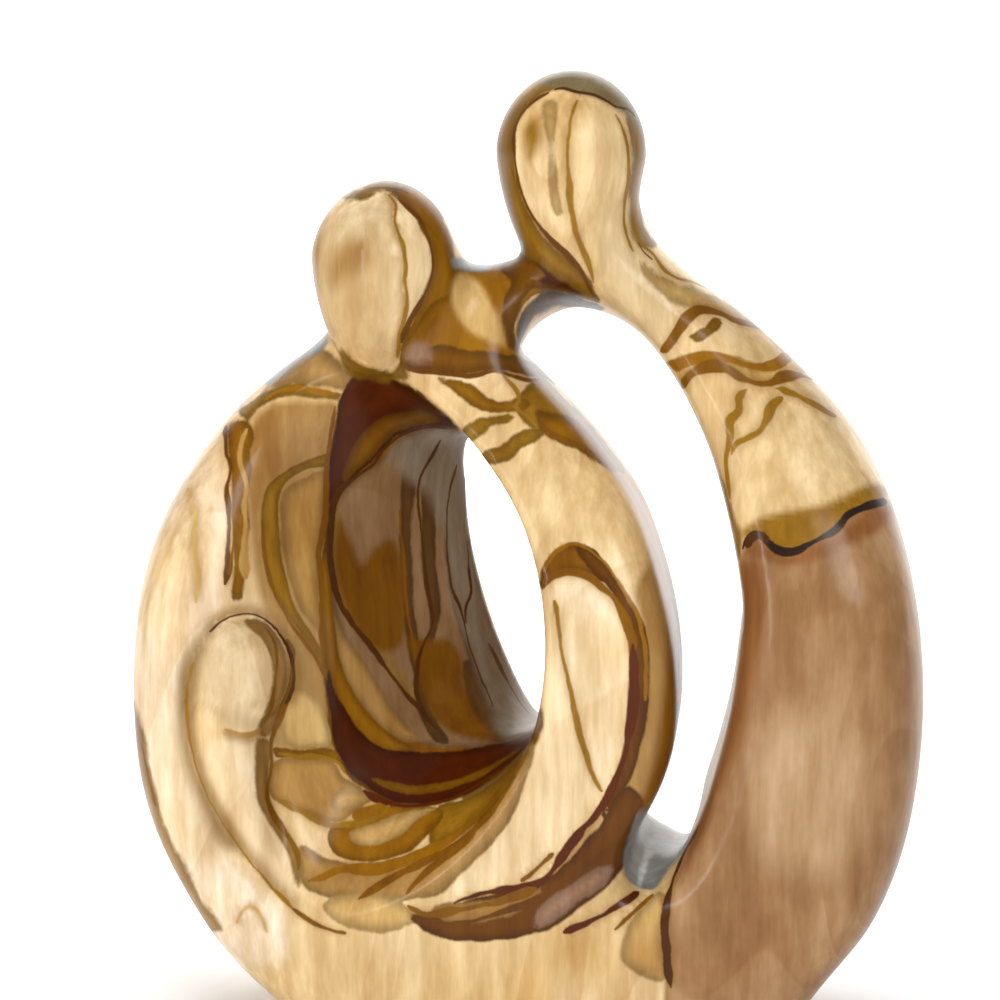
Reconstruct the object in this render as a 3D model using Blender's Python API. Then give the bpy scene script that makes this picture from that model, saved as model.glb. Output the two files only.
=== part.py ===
"""Family group carved from one block of olive wood, with smooth faceless heads.

The mother sits on the left and the father stands over her on the right, one arm round her
shoulders. Together they fill one oval outline. Her lap is a funnel-shaped hollow right through
the block, with the swaddled child in relief on its rim, and a crescent gap parts the two bodies.

The form is a distance field in metres, negative inside the wood: outlines drawn in the front view
are carried through the depth of the block, and rounded where they meet. Its zero surface is the
mesh. Outline points are (x, z), to the right of the middle and up from the base, as shares of the
height, and so are radii and roundings. Depths are shares of the thickness, from -0.5 at the front
to 0.5 at the back.
"""

from collections import namedtuple

import bpy
import numpy as np
import openvdb
from mathutils import Vector
from mathutils.geometry import interpolate_bezier

HEIGHT = 0.220
THICKNESS = 0.056

# How finely the surface is made, and how far the cells reach round it, as shares
CELL = HEIGHT / 130
TRIANGLES = 7600
SIDE_REACH, DEPTH_REACH = 0.46, 0.62
LOWEST, HIGHEST = -0.03, 1.03

# The block in the front view, clockwise from the foot of the left side
SILHOUETTE = [
    (-0.199, -0.019), (-0.267, 0.029), (-0.321, 0.084), (-0.361, 0.146), (-0.391, 0.210),
    (-0.407, 0.274), (-0.412, 0.370), (-0.404, 0.455), (-0.385, 0.528), (-0.354, 0.589),
    (-0.312, 0.646), (-0.267, 0.688), (-0.225, 0.721), (-0.195, 0.757), (-0.155, 0.790),
    (-0.115, 0.802), (-0.082, 0.800), (-0.034, 0.806), (0.003, 0.822), (0.033, 0.878),
    (0.074, 0.903), (0.105, 0.890), (0.118, 0.863), (0.134, 0.830), (0.167, 0.797),
    (0.225, 0.754), (0.290, 0.692), (0.335, 0.638), (0.371, 0.573), (0.398, 0.489),
    (0.412, 0.392), (0.411, 0.295), (0.395, 0.199), (0.365, 0.123), (0.321, 0.063),
    (0.267, -0.003), (0.166, -0.065), (0.036, -0.102), (-0.100, -0.074),
]

# The block's depth, lower down and at the heads, and the heights between which it changes
LOWER_FRONT, UPPER_FRONT = -0.5, -0.214
LOWER_BACK, UPPER_BACK = 0.5, 0.321
FRONT_RECEDES = (0.43, 0.74)
BACK_RECEDES = (0.48, 0.81)
FRONT_ROUNDING, BACK_ROUNDING = 0.136, 0.123

# The crescent gap: its two long sides, then its ends at the front and at the back
GAP_RIGHT_SIDE = [
    (0.127, 0.718), (0.156, 0.679), (0.187, 0.620), (0.207, 0.559), (0.221, 0.497),
    (0.226, 0.456), (0.222, 0.414), (0.214, 0.351), (0.199, 0.288), (0.187, 0.248),
]
GAP_LEFT_SIDE = [
    (0.127, 0.234), (0.146, 0.273), (0.158, 0.315), (0.161, 0.364), (0.155, 0.429),
    (0.139, 0.494), (0.114, 0.558), (0.072, 0.620), (0.034, 0.663), (0.007, 0.692),
]
GAP_FRONT_FOOT = [
    (0.174, 0.217), (0.160, 0.193), (0.143, 0.175), (0.125, 0.170), (0.112, 0.184), (0.112, 0.206),
]
GAP_FRONT_HEAD = [
    (-0.002, 0.726), (0.005, 0.753), (0.021, 0.774), (0.044, 0.781), (0.074, 0.774), (0.098, 0.755),
]
GAP_BACK_FOOT = [
    (0.176, 0.190), (0.167, 0.178), (0.145, 0.187), (0.126, 0.199), (0.121, 0.209),
]
GAP_BACK_HEAD = [
    (-0.011, 0.711), (0.000, 0.725), (0.020, 0.737), (0.045, 0.744), (0.070, 0.743), (0.099, 0.734),
]
GAP_TURNS = (-0.39, 0.36)
GAP_ROUNDING = 0.073

# The hollow of the lap: its mouth, the ridge where it steepens, and its way out at the back
MOUTH = [
    (-0.159, 0.695), (-0.124, 0.689), (-0.077, 0.652), (-0.035, 0.604), (0.000, 0.551),
    (0.022, 0.483), (0.027, 0.406), (0.014, 0.328), (-0.017, 0.265), (-0.063, 0.206),
    (-0.125, 0.157), (-0.193, 0.136), (-0.250, 0.164), (-0.298, 0.248), (-0.320, 0.352),
    (-0.320, 0.466), (-0.309, 0.567), (-0.281, 0.637), (-0.232, 0.682), (-0.191, 0.697),
]
RIDGE = [
    (-0.199, 0.560), (-0.198, 0.431), (-0.193, 0.318), (-0.182, 0.292), (-0.147, 0.263),
    (-0.099, 0.253), (-0.047, 0.269), (0.017, 0.318), (0.033, 0.371), (0.033, 0.435),
    (0.021, 0.498), (-0.001, 0.555), (-0.031, 0.602), (-0.062, 0.632), (-0.098, 0.642),
    (-0.135, 0.632), (-0.169, 0.598),
]
WAY_OUT = [
    (-0.075, 0.599), (-0.077, 0.550), (-0.070, 0.483), (-0.045, 0.395), (-0.010, 0.318),
    (0.004, 0.302), (0.024, 0.310), (0.040, 0.341), (0.046, 0.397), (0.037, 0.463),
    (0.015, 0.528), (-0.018, 0.580), (-0.053, 0.606), (-0.068, 0.608),
]
RIDGE_DEPTH = 0.357
WAY_OUT_DEPTH = 0.429
HOLLOW_SOFTNESS = 0.016
LEFT_RIM_ROUNDING, RIGHT_RIM_ROUNDING = 0.073, 0.016
RIM_SHARPENS = (-0.330, -0.140)

# Heads: middle is (x, depth, z), lean and nod are in degrees, and taper narrows the chin
Head = namedtuple("Head", "middle half_width half_depth above below lean nod taper")
MOTHER_HEAD = Head((-0.146, -0.160, 0.803), 0.0736, 0.304, 0.086, 0.116, 7, 12, 0.26)
FATHER_HEAD = Head((0.044, 0.000, 0.914), 0.0773, 0.312, 0.086, 0.132, 4, 0, 0.22)
CHILD_HEAD = Head((-0.293, -0.330, 0.385), 0.0545, 0.170, 0.058, 0.060, -8, 0, 0.08)
MOTHER_CHIN_ROUNDING, MOTHER_NAPE_ROUNDING = 0.016, 0.073
MOTHER_NAPE = (-0.155, -0.080)
FATHER_NECK_ROUNDING = 0.027

# The child's wrapped body: (x, z, half width), from the shoulders to the feet
WRAPPED_BODY = [
    (-0.310, 0.336, 0.041), (-0.308, 0.304, 0.041), (-0.300, 0.256, 0.038),
    (-0.280, 0.207, 0.034), (-0.258, 0.167, 0.026), (-0.234, 0.136, 0.014),
]
WRAPPED_BODY_DEPTH = -0.335
CHILD_ROUNDING = 0.007
CHILD_GROOVE, CHILD_GROOVE_WIDTH = 0.009, 0.014

BASE_ROUNDING = 0.014
BASE_TRIM = 0.002


def ease(value, low, high):
    """0 below low, 1 above high, and a smooth turn between them."""
    t = np.clip((value - low) / (high - low), 0.0, 1.0)
    return t * t * (3.0 - 2.0 * t)


def mix(a, b, t):
    return a + (b - a) * t


def smooth_min(a, b, width):
    """The union of two fields, with a fillet."""
    near = np.maximum(width - np.abs(a - b), 0.0) / width
    return np.minimum(a, b) - near**3 * width / 6.0


def smooth_max(a, b, width):
    """What two fields share, with a rounded edge."""
    return -smooth_min(-a, -b, width)


def smooth_curve(points, steps=8):
    """A closed centripetal Catmull-Rom curve through the points, drawn as Bezier pieces."""
    points = np.asarray(points) * HEIGHT
    curve = []
    for index in range(len(points)):
        before, start, end, after = (points[(index + k) % len(points)] for k in (-1, 0, 1, 2))
        a, b, c = (
            np.linalg.norm(end_point - start_point) ** 0.5
            for start_point, end_point in ((before, start), (start, end), (end, after))
        )
        first = (2 * a * a + 3 * a * b + b * b) * start + a * a * end - b * b * before
        second = (2 * c * c + 3 * c * b + b * b) * end + c * c * start - b * b * after
        corners = (start, first / (3 * a * (a + b)), second / (3 * c * (c + b)), end)
        curve += interpolate_bezier(*(Vector(corner) for corner in corners), steps + 1)[:-1]
    return np.array(curve)


class Grid:
    """The cells that the field is worked out in: metres, x first, then depth, then height."""

    def __init__(self):
        side, depth = SIDE_REACH * HEIGHT, DEPTH_REACH * THICKNESS
        self.low = np.array((-side, -depth, LOWEST * HEIGHT))
        high = np.array((side, depth, HIGHEST * HEIGHT))
        axes = [np.arange(low, top, CELL) for low, top in zip(self.low, high)]
        self.x = axes[0][:, None, None]
        self.y = axes[1][None, :, None]
        self.z = axes[2][None, None, :]

    def outline(self, points):
        """Signed distance to a closed outline in the front view."""
        curve = smooth_curve(points)
        nearest = np.full(np.broadcast_shapes(self.x.shape, self.z.shape), np.inf)
        inside = np.zeros(nearest.shape, bool)
        for start, end in zip(curve, np.roll(curve, -1, axis=0)):
            run, rise = end - start
            across, up = self.x - start[0], self.z - start[1]
            t = np.clip((across * run + up * rise) / (run * run + rise * rise), 0.0, 1.0)
            nearest = np.minimum(nearest, np.hypot(across - t * run, up - t * rise))
            if rise:
                crosses = (start[1] > self.z) != (end[1] > self.z)
                inside ^= crosses & (self.x < start[0] + run * up / rise)
        return np.where(inside, -nearest, nearest)

    def soft_outline(self, points):
        """An outline's field, blurred so that it has no crease down the middle of the shape."""
        field = self.outline(points)
        spread = HOLLOW_SOFTNESS * HEIGHT / CELL
        steps = np.arange(-int(3 * spread), int(3 * spread) + 1)
        weights = np.exp(-0.5 * (steps / spread) ** 2)
        weights /= weights.sum()
        for axis in (0, 2):
            field = sum(w * np.roll(field, step, axis) for w, step in zip(weights, steps))
        return field

    def egg(self, head):
        """A head: an egg with its narrow end down."""
        x, y, z = place(head.middle)
        x, y, z = self.x - x, self.y - y, self.z - z
        lean, nod = np.radians((head.lean, head.nod))
        x, z = x * np.cos(lean) - z * np.sin(lean), x * np.sin(lean) + z * np.cos(lean)
        y, z = y * np.cos(nod) - z * np.sin(nod), y * np.sin(nod) + z * np.cos(nod)
        up = np.where(z > 0.0, head.above, head.below) * HEIGHT
        narrowing = 1.0 + head.taper * np.clip(z / up, -1.0, 0.0)
        wide = head.half_width * HEIGHT * narrowing
        deep = head.half_depth * THICKNESS * narrowing
        scaled = np.sqrt((x / wide) ** 2 + (y / deep) ** 2 + (z / up) ** 2)
        slope = np.sqrt((x / wide**2) ** 2 + (y / deep**2) ** 2 + (z / up**2) ** 2)
        return scaled * (scaled - 1.0) / np.maximum(slope, 1e-6)

    def sausage(self, points, depth):
        """Round balls of changing size, joined in a row."""
        y = self.y - depth * THICKNESS
        field = np.inf
        for start, end in zip(points, points[1:]):
            x, z, radius = np.array(start) * HEIGHT
            run, rise, growth = np.array(end) * HEIGHT - (x, z, radius)
            across, up = self.x - x, self.z - z
            t = np.clip((across * run + up * rise) / (run * run + rise * rise), 0.0, 1.0)
            away = np.sqrt((across - t * run) ** 2 + y**2 + (up - t * rise) ** 2)
            field = np.minimum(field, away - radius - t * growth)
        return field


def place(point):
    """A point (x, depth, z) in shares, in metres."""
    return point[0] * HEIGHT, point[1] * THICKNESS, point[2] * HEIGHT


def heights(span):
    return span[0] * HEIGHT, span[1] * HEIGHT


def block(grid, front):
    """The oval block, thinner at the heads, with its front and back edges rounded."""
    back = mix(LOWER_BACK, UPPER_BACK, ease(grid.z, *heights(BACK_RECEDES))) * THICKNESS
    wood = smooth_max(grid.outline(SILHOUETTE), front - grid.y, FRONT_ROUNDING * HEIGHT)
    return smooth_max(wood, grid.y - back, BACK_ROUNDING * HEIGHT)


def crescent_gap(grid):
    """The gap between the bodies, whose ends slope from the front to the back."""
    front = grid.outline(GAP_RIGHT_SIDE + GAP_FRONT_FOOT + GAP_LEFT_SIDE + GAP_FRONT_HEAD)
    back = grid.outline(GAP_RIGHT_SIDE + GAP_BACK_FOOT + GAP_LEFT_SIDE + GAP_BACK_HEAD)
    turns = ease(grid.y, GAP_TURNS[0] * THICKNESS, GAP_TURNS[1] * THICKNESS)
    return mix(front, back, turns)


def lap_hollow(grid, front):
    """The funnel: wide at the front, steeper behind the ridge, and slim at the back."""
    ridge_depth = RIDGE_DEPTH * THICKNESS
    way_out_depth = WAY_OUT_DEPTH * THICKNESS
    ridge = grid.soft_outline(RIDGE)
    to_ridge = np.clip((grid.y - front) / ridge_depth, 0.0, 1.0)
    past_ridge = grid.y - front - ridge_depth
    to_way_out = np.clip(past_ridge / (way_out_depth - front - ridge_depth), 0.0, 1.0)
    bowl = mix(grid.soft_outline(MOUTH), ridge, to_ridge)
    return mix(bowl, grid.outline(WAY_OUT), to_way_out)


def add_child(grid, wood):
    """The swaddled child in relief, with a groove round it."""
    head = grid.egg(CHILD_HEAD)
    body = grid.sausage(WRAPPED_BODY, WRAPPED_BODY_DEPTH)
    child = smooth_min(head, body, CHILD_ROUNDING * HEIGHT)
    groove = CHILD_GROOVE * HEIGHT * np.exp(-((child / (CHILD_GROOVE_WIDTH * HEIGHT)) ** 2))
    return smooth_min(wood + groove, child, CHILD_ROUNDING * HEIGHT)


def carving(grid):
    """The whole form as one field."""
    front = mix(LOWER_FRONT, UPPER_FRONT, ease(grid.z, *heights(FRONT_RECEDES))) * THICKNESS
    wood = smooth_max(block(grid, front), -crescent_gap(grid), GAP_ROUNDING * HEIGHT)
    sharpens = ease(grid.x, *heights(RIM_SHARPENS))
    rim_rounding = mix(LEFT_RIM_ROUNDING, RIGHT_RIM_ROUNDING, sharpens) * HEIGHT
    wood = smooth_max(wood, -lap_hollow(grid, front), rim_rounding)
    nape = ease(grid.x, *heights(MOTHER_NAPE))
    chin_rounding = mix(MOTHER_CHIN_ROUNDING, MOTHER_NAPE_ROUNDING, nape) * HEIGHT
    wood = smooth_min(wood, grid.egg(MOTHER_HEAD), chin_rounding)
    wood = smooth_min(wood, grid.egg(FATHER_HEAD), FATHER_NECK_ROUNDING * HEIGHT)
    wood = add_child(grid, wood)
    return smooth_max(wood, -grid.z - BASE_TRIM * HEIGHT, BASE_ROUNDING * HEIGHT)


def surface_of(grid, field):
    """A closed mesh of four-sided faces where the field is zero."""
    volume = openvdb.FloatGrid(float(HEIGHT))
    volume.copyFromArray(np.ascontiguousarray(field, np.float32))
    points, faces = volume.convertToQuads(isovalue=0.0)
    mesh = bpy.data.meshes.new("holy_family")
    mesh.from_pydata((points * CELL + grid.low).tolist(), [], faces.tolist())
    mesh.shade_smooth()
    return mesh


def add_below_base_cutter():
    """The space under the base, a guide that trims the wood flat at height zero."""
    side = 2.0 * HEIGHT
    bpy.ops.mesh.primitive_cube_add(size=side, location=(0.0, 0.0, -side / 2.0))
    cutter = bpy.context.object
    cutter.name = "space_below_base"
    cutter.hide_render = True
    cutter.display_type = "WIRE"
    return cutter


def olive_wood():
    material = bpy.data.materials.new("olive_wood")
    material.use_nodes = True
    shader = material.node_tree.nodes["Principled BSDF"]
    shader.inputs["Base Color"].default_value = (0.56, 0.36, 0.16, 1.0)
    shader.inputs["Roughness"].default_value = 0.32
    shader.inputs["Metallic"].default_value = 0.0
    return material


def make_family():
    grid = Grid()
    mesh = surface_of(grid, carving(grid))
    family = bpy.data.objects.new("holy_family_carving", mesh)
    bpy.context.scene.collection.objects.link(family)
    mesh.materials.append(olive_wood())
    family.modifiers.new("three_sided", "TRIANGULATE")
    fewer = family.modifiers.new("fewer_faces", "DECIMATE")
    fewer.ratio = TRIANGLES / (2 * len(mesh.polygons))
    trim = family.modifiers.new("flat_base", "BOOLEAN")
    trim.operation = "DIFFERENCE"
    trim.object = add_below_base_cutter()


def main():
    for item in list(bpy.data.objects):
        bpy.data.objects.remove(item)
    make_family()


main()
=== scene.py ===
"""Looks of the olive wood family group: its finely carved surface, its figured wood and a plain studio.

Lengths are in metres. The form is worked out as in the solid: outline points are (x, z), to the
right of the middle and up from the base, as shares of the height, and so are radii and roundings.
Depths are shares of the thickness, from -0.5 at the front to 0.5 at the back. Growth lines and
patches of colour are drawn where the photograph shows them, as pixels of its 1000 by 1000 frame,
and laid onto the carved surface under each pixel. From there on they belong to the wood. Most are
the wood's figure; some, as marked, are painted shade, shadow, highlights and reflections.
"""

import math
from collections import namedtuple

import bpy
import numpy as np
import openvdb
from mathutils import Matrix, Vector
from mathutils.bvhtree import BVHTree
from mathutils.geometry import interpolate_bezier


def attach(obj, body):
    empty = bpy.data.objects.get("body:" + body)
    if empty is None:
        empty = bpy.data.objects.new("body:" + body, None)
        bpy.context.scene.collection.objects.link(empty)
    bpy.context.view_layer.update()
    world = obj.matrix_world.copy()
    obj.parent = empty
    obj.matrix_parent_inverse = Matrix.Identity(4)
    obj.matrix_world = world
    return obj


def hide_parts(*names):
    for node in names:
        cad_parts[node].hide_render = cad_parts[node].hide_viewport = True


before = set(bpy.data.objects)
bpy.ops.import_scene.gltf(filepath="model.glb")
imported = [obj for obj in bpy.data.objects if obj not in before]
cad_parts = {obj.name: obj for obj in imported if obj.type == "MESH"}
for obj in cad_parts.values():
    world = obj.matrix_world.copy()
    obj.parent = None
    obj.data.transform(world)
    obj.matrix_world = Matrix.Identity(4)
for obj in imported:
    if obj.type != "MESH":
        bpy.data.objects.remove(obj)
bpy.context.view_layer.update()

HEIGHT = 0.220
THICKNESS = 0.056

# How finely the surface is made, and how far the cells reach round it, as shares
CELL = HEIGHT / 183
SIDE_REACH, DEPTH_REACH = 0.46, 0.62
LOWEST, HIGHEST = -0.03, 1.03

# The block in the front view, clockwise from the foot of the left side
SILHOUETTE = [
    (-0.199, -0.019), (-0.267, 0.029), (-0.321, 0.084), (-0.361, 0.146), (-0.391, 0.210),
    (-0.407, 0.274), (-0.412, 0.370), (-0.404, 0.455), (-0.385, 0.528), (-0.354, 0.589),
    (-0.312, 0.646), (-0.267, 0.688), (-0.225, 0.721), (-0.195, 0.757), (-0.155, 0.790),
    (-0.115, 0.802), (-0.082, 0.800), (-0.034, 0.806), (0.003, 0.822), (0.033, 0.878),
    (0.074, 0.903), (0.105, 0.890), (0.118, 0.863), (0.134, 0.830), (0.167, 0.797),
    (0.225, 0.754), (0.290, 0.692), (0.335, 0.638), (0.371, 0.573), (0.398, 0.489),
    (0.412, 0.392), (0.411, 0.295), (0.395, 0.199), (0.365, 0.123), (0.321, 0.063),
    (0.267, -0.003), (0.166, -0.065), (0.036, -0.102), (-0.100, -0.074),
]

# The block's depth, lower down and at the heads, and the heights between which it changes
LOWER_FRONT, UPPER_FRONT = -0.5, -0.214
LOWER_BACK, UPPER_BACK = 0.5, 0.321
FRONT_RECEDES = (0.43, 0.74)
BACK_RECEDES = (0.48, 0.81)
FRONT_ROUNDING, BACK_ROUNDING = 0.136, 0.123

# The crescent gap: its two long sides, then its ends at the front and at the back
GAP_RIGHT_SIDE = [
    (0.127, 0.718), (0.156, 0.679), (0.187, 0.620), (0.207, 0.559), (0.221, 0.497),
    (0.226, 0.456), (0.222, 0.414), (0.214, 0.351), (0.199, 0.288), (0.187, 0.248),
]
GAP_LEFT_SIDE = [
    (0.127, 0.234), (0.146, 0.273), (0.158, 0.315), (0.161, 0.364), (0.155, 0.429),
    (0.139, 0.494), (0.114, 0.558), (0.072, 0.620), (0.034, 0.663), (0.007, 0.692),
]
GAP_FRONT_FOOT = [
    (0.174, 0.217), (0.160, 0.193), (0.143, 0.175), (0.125, 0.170), (0.112, 0.184), (0.112, 0.206),
]
GAP_FRONT_HEAD = [
    (-0.002, 0.726), (0.005, 0.753), (0.021, 0.774), (0.044, 0.781), (0.074, 0.774), (0.098, 0.755),
]
GAP_BACK_FOOT = [
    (0.176, 0.190), (0.167, 0.178), (0.145, 0.187), (0.126, 0.199), (0.121, 0.209),
]
GAP_BACK_HEAD = [
    (-0.011, 0.711), (0.000, 0.725), (0.020, 0.737), (0.045, 0.744), (0.070, 0.743), (0.099, 0.734),
]
GAP_TURNS = (-0.39, 0.36)
GAP_ROUNDING = 0.073

# The hollow of the lap: its mouth, the ridge where it steepens, and its way out at the back
MOUTH = [
    (-0.159, 0.695), (-0.124, 0.689), (-0.077, 0.652), (-0.035, 0.604), (0.000, 0.551),
    (0.022, 0.483), (0.027, 0.406), (0.014, 0.328), (-0.017, 0.265), (-0.063, 0.206),
    (-0.125, 0.157), (-0.193, 0.136), (-0.250, 0.164), (-0.298, 0.248), (-0.320, 0.352),
    (-0.320, 0.466), (-0.309, 0.567), (-0.281, 0.637), (-0.232, 0.682), (-0.191, 0.697),
]
RIDGE = [
    (-0.199, 0.560), (-0.198, 0.431), (-0.193, 0.318), (-0.182, 0.292), (-0.147, 0.263),
    (-0.099, 0.253), (-0.047, 0.269), (0.017, 0.318), (0.033, 0.371), (0.033, 0.435),
    (0.021, 0.498), (-0.001, 0.555), (-0.031, 0.602), (-0.062, 0.632), (-0.098, 0.642),
    (-0.135, 0.632), (-0.169, 0.598),
]
WAY_OUT = [
    (-0.075, 0.599), (-0.077, 0.550), (-0.070, 0.483), (-0.045, 0.395), (-0.010, 0.318),
    (0.004, 0.302), (0.024, 0.310), (0.040, 0.341), (0.046, 0.397), (0.037, 0.463),
    (0.015, 0.528), (-0.018, 0.580), (-0.053, 0.606), (-0.068, 0.608),
]
RIDGE_DEPTH = 0.357
WAY_OUT_DEPTH = 0.429
HOLLOW_SOFTNESS = 0.016
LEFT_RIM_ROUNDING, RIGHT_RIM_ROUNDING = 0.073, 0.016
RIM_SHARPENS = (-0.330, -0.140)

# Heads: middle is (x, depth, z), lean and nod are in degrees, and taper narrows the chin
Head = namedtuple("Head", "middle half_width half_depth above below lean nod taper")
MOTHER_HEAD = Head((-0.146, -0.160, 0.803), 0.0736, 0.304, 0.086, 0.116, 7, 12, 0.26)
FATHER_HEAD = Head((0.044, 0.000, 0.914), 0.0773, 0.312, 0.086, 0.132, 4, 0, 0.22)
CHILD_HEAD = Head((-0.293, -0.330, 0.385), 0.0545, 0.170, 0.058, 0.060, -8, 0, 0.08)
MOTHER_CHIN_ROUNDING, MOTHER_NAPE_ROUNDING = 0.016, 0.073
MOTHER_NAPE = (-0.155, -0.080)
FATHER_NECK_ROUNDING = 0.027

# The child's wrapped body: (x, z, half width), from the shoulders to the feet
WRAPPED_BODY = [
    (-0.310, 0.336, 0.041), (-0.308, 0.304, 0.041), (-0.300, 0.256, 0.038),
    (-0.280, 0.207, 0.034), (-0.258, 0.167, 0.026), (-0.234, 0.136, 0.014),
]
WRAPPED_BODY_DEPTH = -0.335
CHILD_ROUNDING = 0.007
CHILD_GROOVE, CHILD_GROOVE_WIDTH = 0.009, 0.014

BASE_ROUNDING = 0.014
BASE_TRIM = 0.002

# The camera that the photograph suggests, and the pixels across its frame
CAMERA_PLACE = (0.060, -0.690, 0.226)
CAMERA_AIM = (-0.0064, 0.0, 0.122)
LENS = 109.7
SENSOR = 36.0
PHOTO_PIXELS = 1000
PIXEL = 0.00023

# Colours of the wood, as linear red, green and blue
CREAM = (0.70, 0.50, 0.250)
PALE = (0.80, 0.615, 0.370)
# Pale wood with a painted whitish sheen, for the left rim
CHALK_AND_SHEEN = (0.84, 0.69, 0.50)
HONEY = (0.55, 0.345, 0.120)
TAN = (0.41, 0.225, 0.060)
CLAY = (0.37, 0.205, 0.062)
GOLDEN = (0.255, 0.105, 0.003)
OLIVE = (0.270, 0.130, 0.008)
BRONZE = (0.160, 0.060, 0.002)
BROWN = (0.185, 0.070, 0.003)
RED_BROWN = (0.085, 0.014, 0.001)
CEILING = (0.062, 0.009, 0.0006)
DUSK = (0.105, 0.048, 0.013)
UMBER = (0.115, 0.036, 0.002)
DARK = (0.065, 0.020, 0.003)
STRAW = (0.60, 0.430, 0.220)
BLACK = (0.020, 0.009, 0.006)
SHADE = (0.27, 0.16, 0.06)
MAUVE = (0.33, 0.185, 0.115)
WALL = (0.225, 0.130, 0.062)
# A painted purplish-grey reflection, for the hollow's far wall
REFLECTED_SLATE = (0.235, 0.190, 0.140)
GREY = (0.175, 0.125, 0.050)
# A painted grey reflection, for faces seen at a grazing angle
REFLECTED_SILVER = (0.34, 0.34, 0.33)
# A darker painted grey reflection with painted shade, for the underside of the arm
REFLECTION_IN_SHADE = (0.165, 0.145, 0.130)
HEART_LIGHT = (0.43, 0.265, 0.135)
MAHOGANY = (0.235, 0.090, 0.026)
HEART = (0.28, 0.14, 0.056)
HEART_PALE = (0.38, 0.215, 0.10)
FADE_COLOUR = (0.27, 0.125, 0.018)
LINES_COLOUR = (0.62, 0.42, 0.20)
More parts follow.
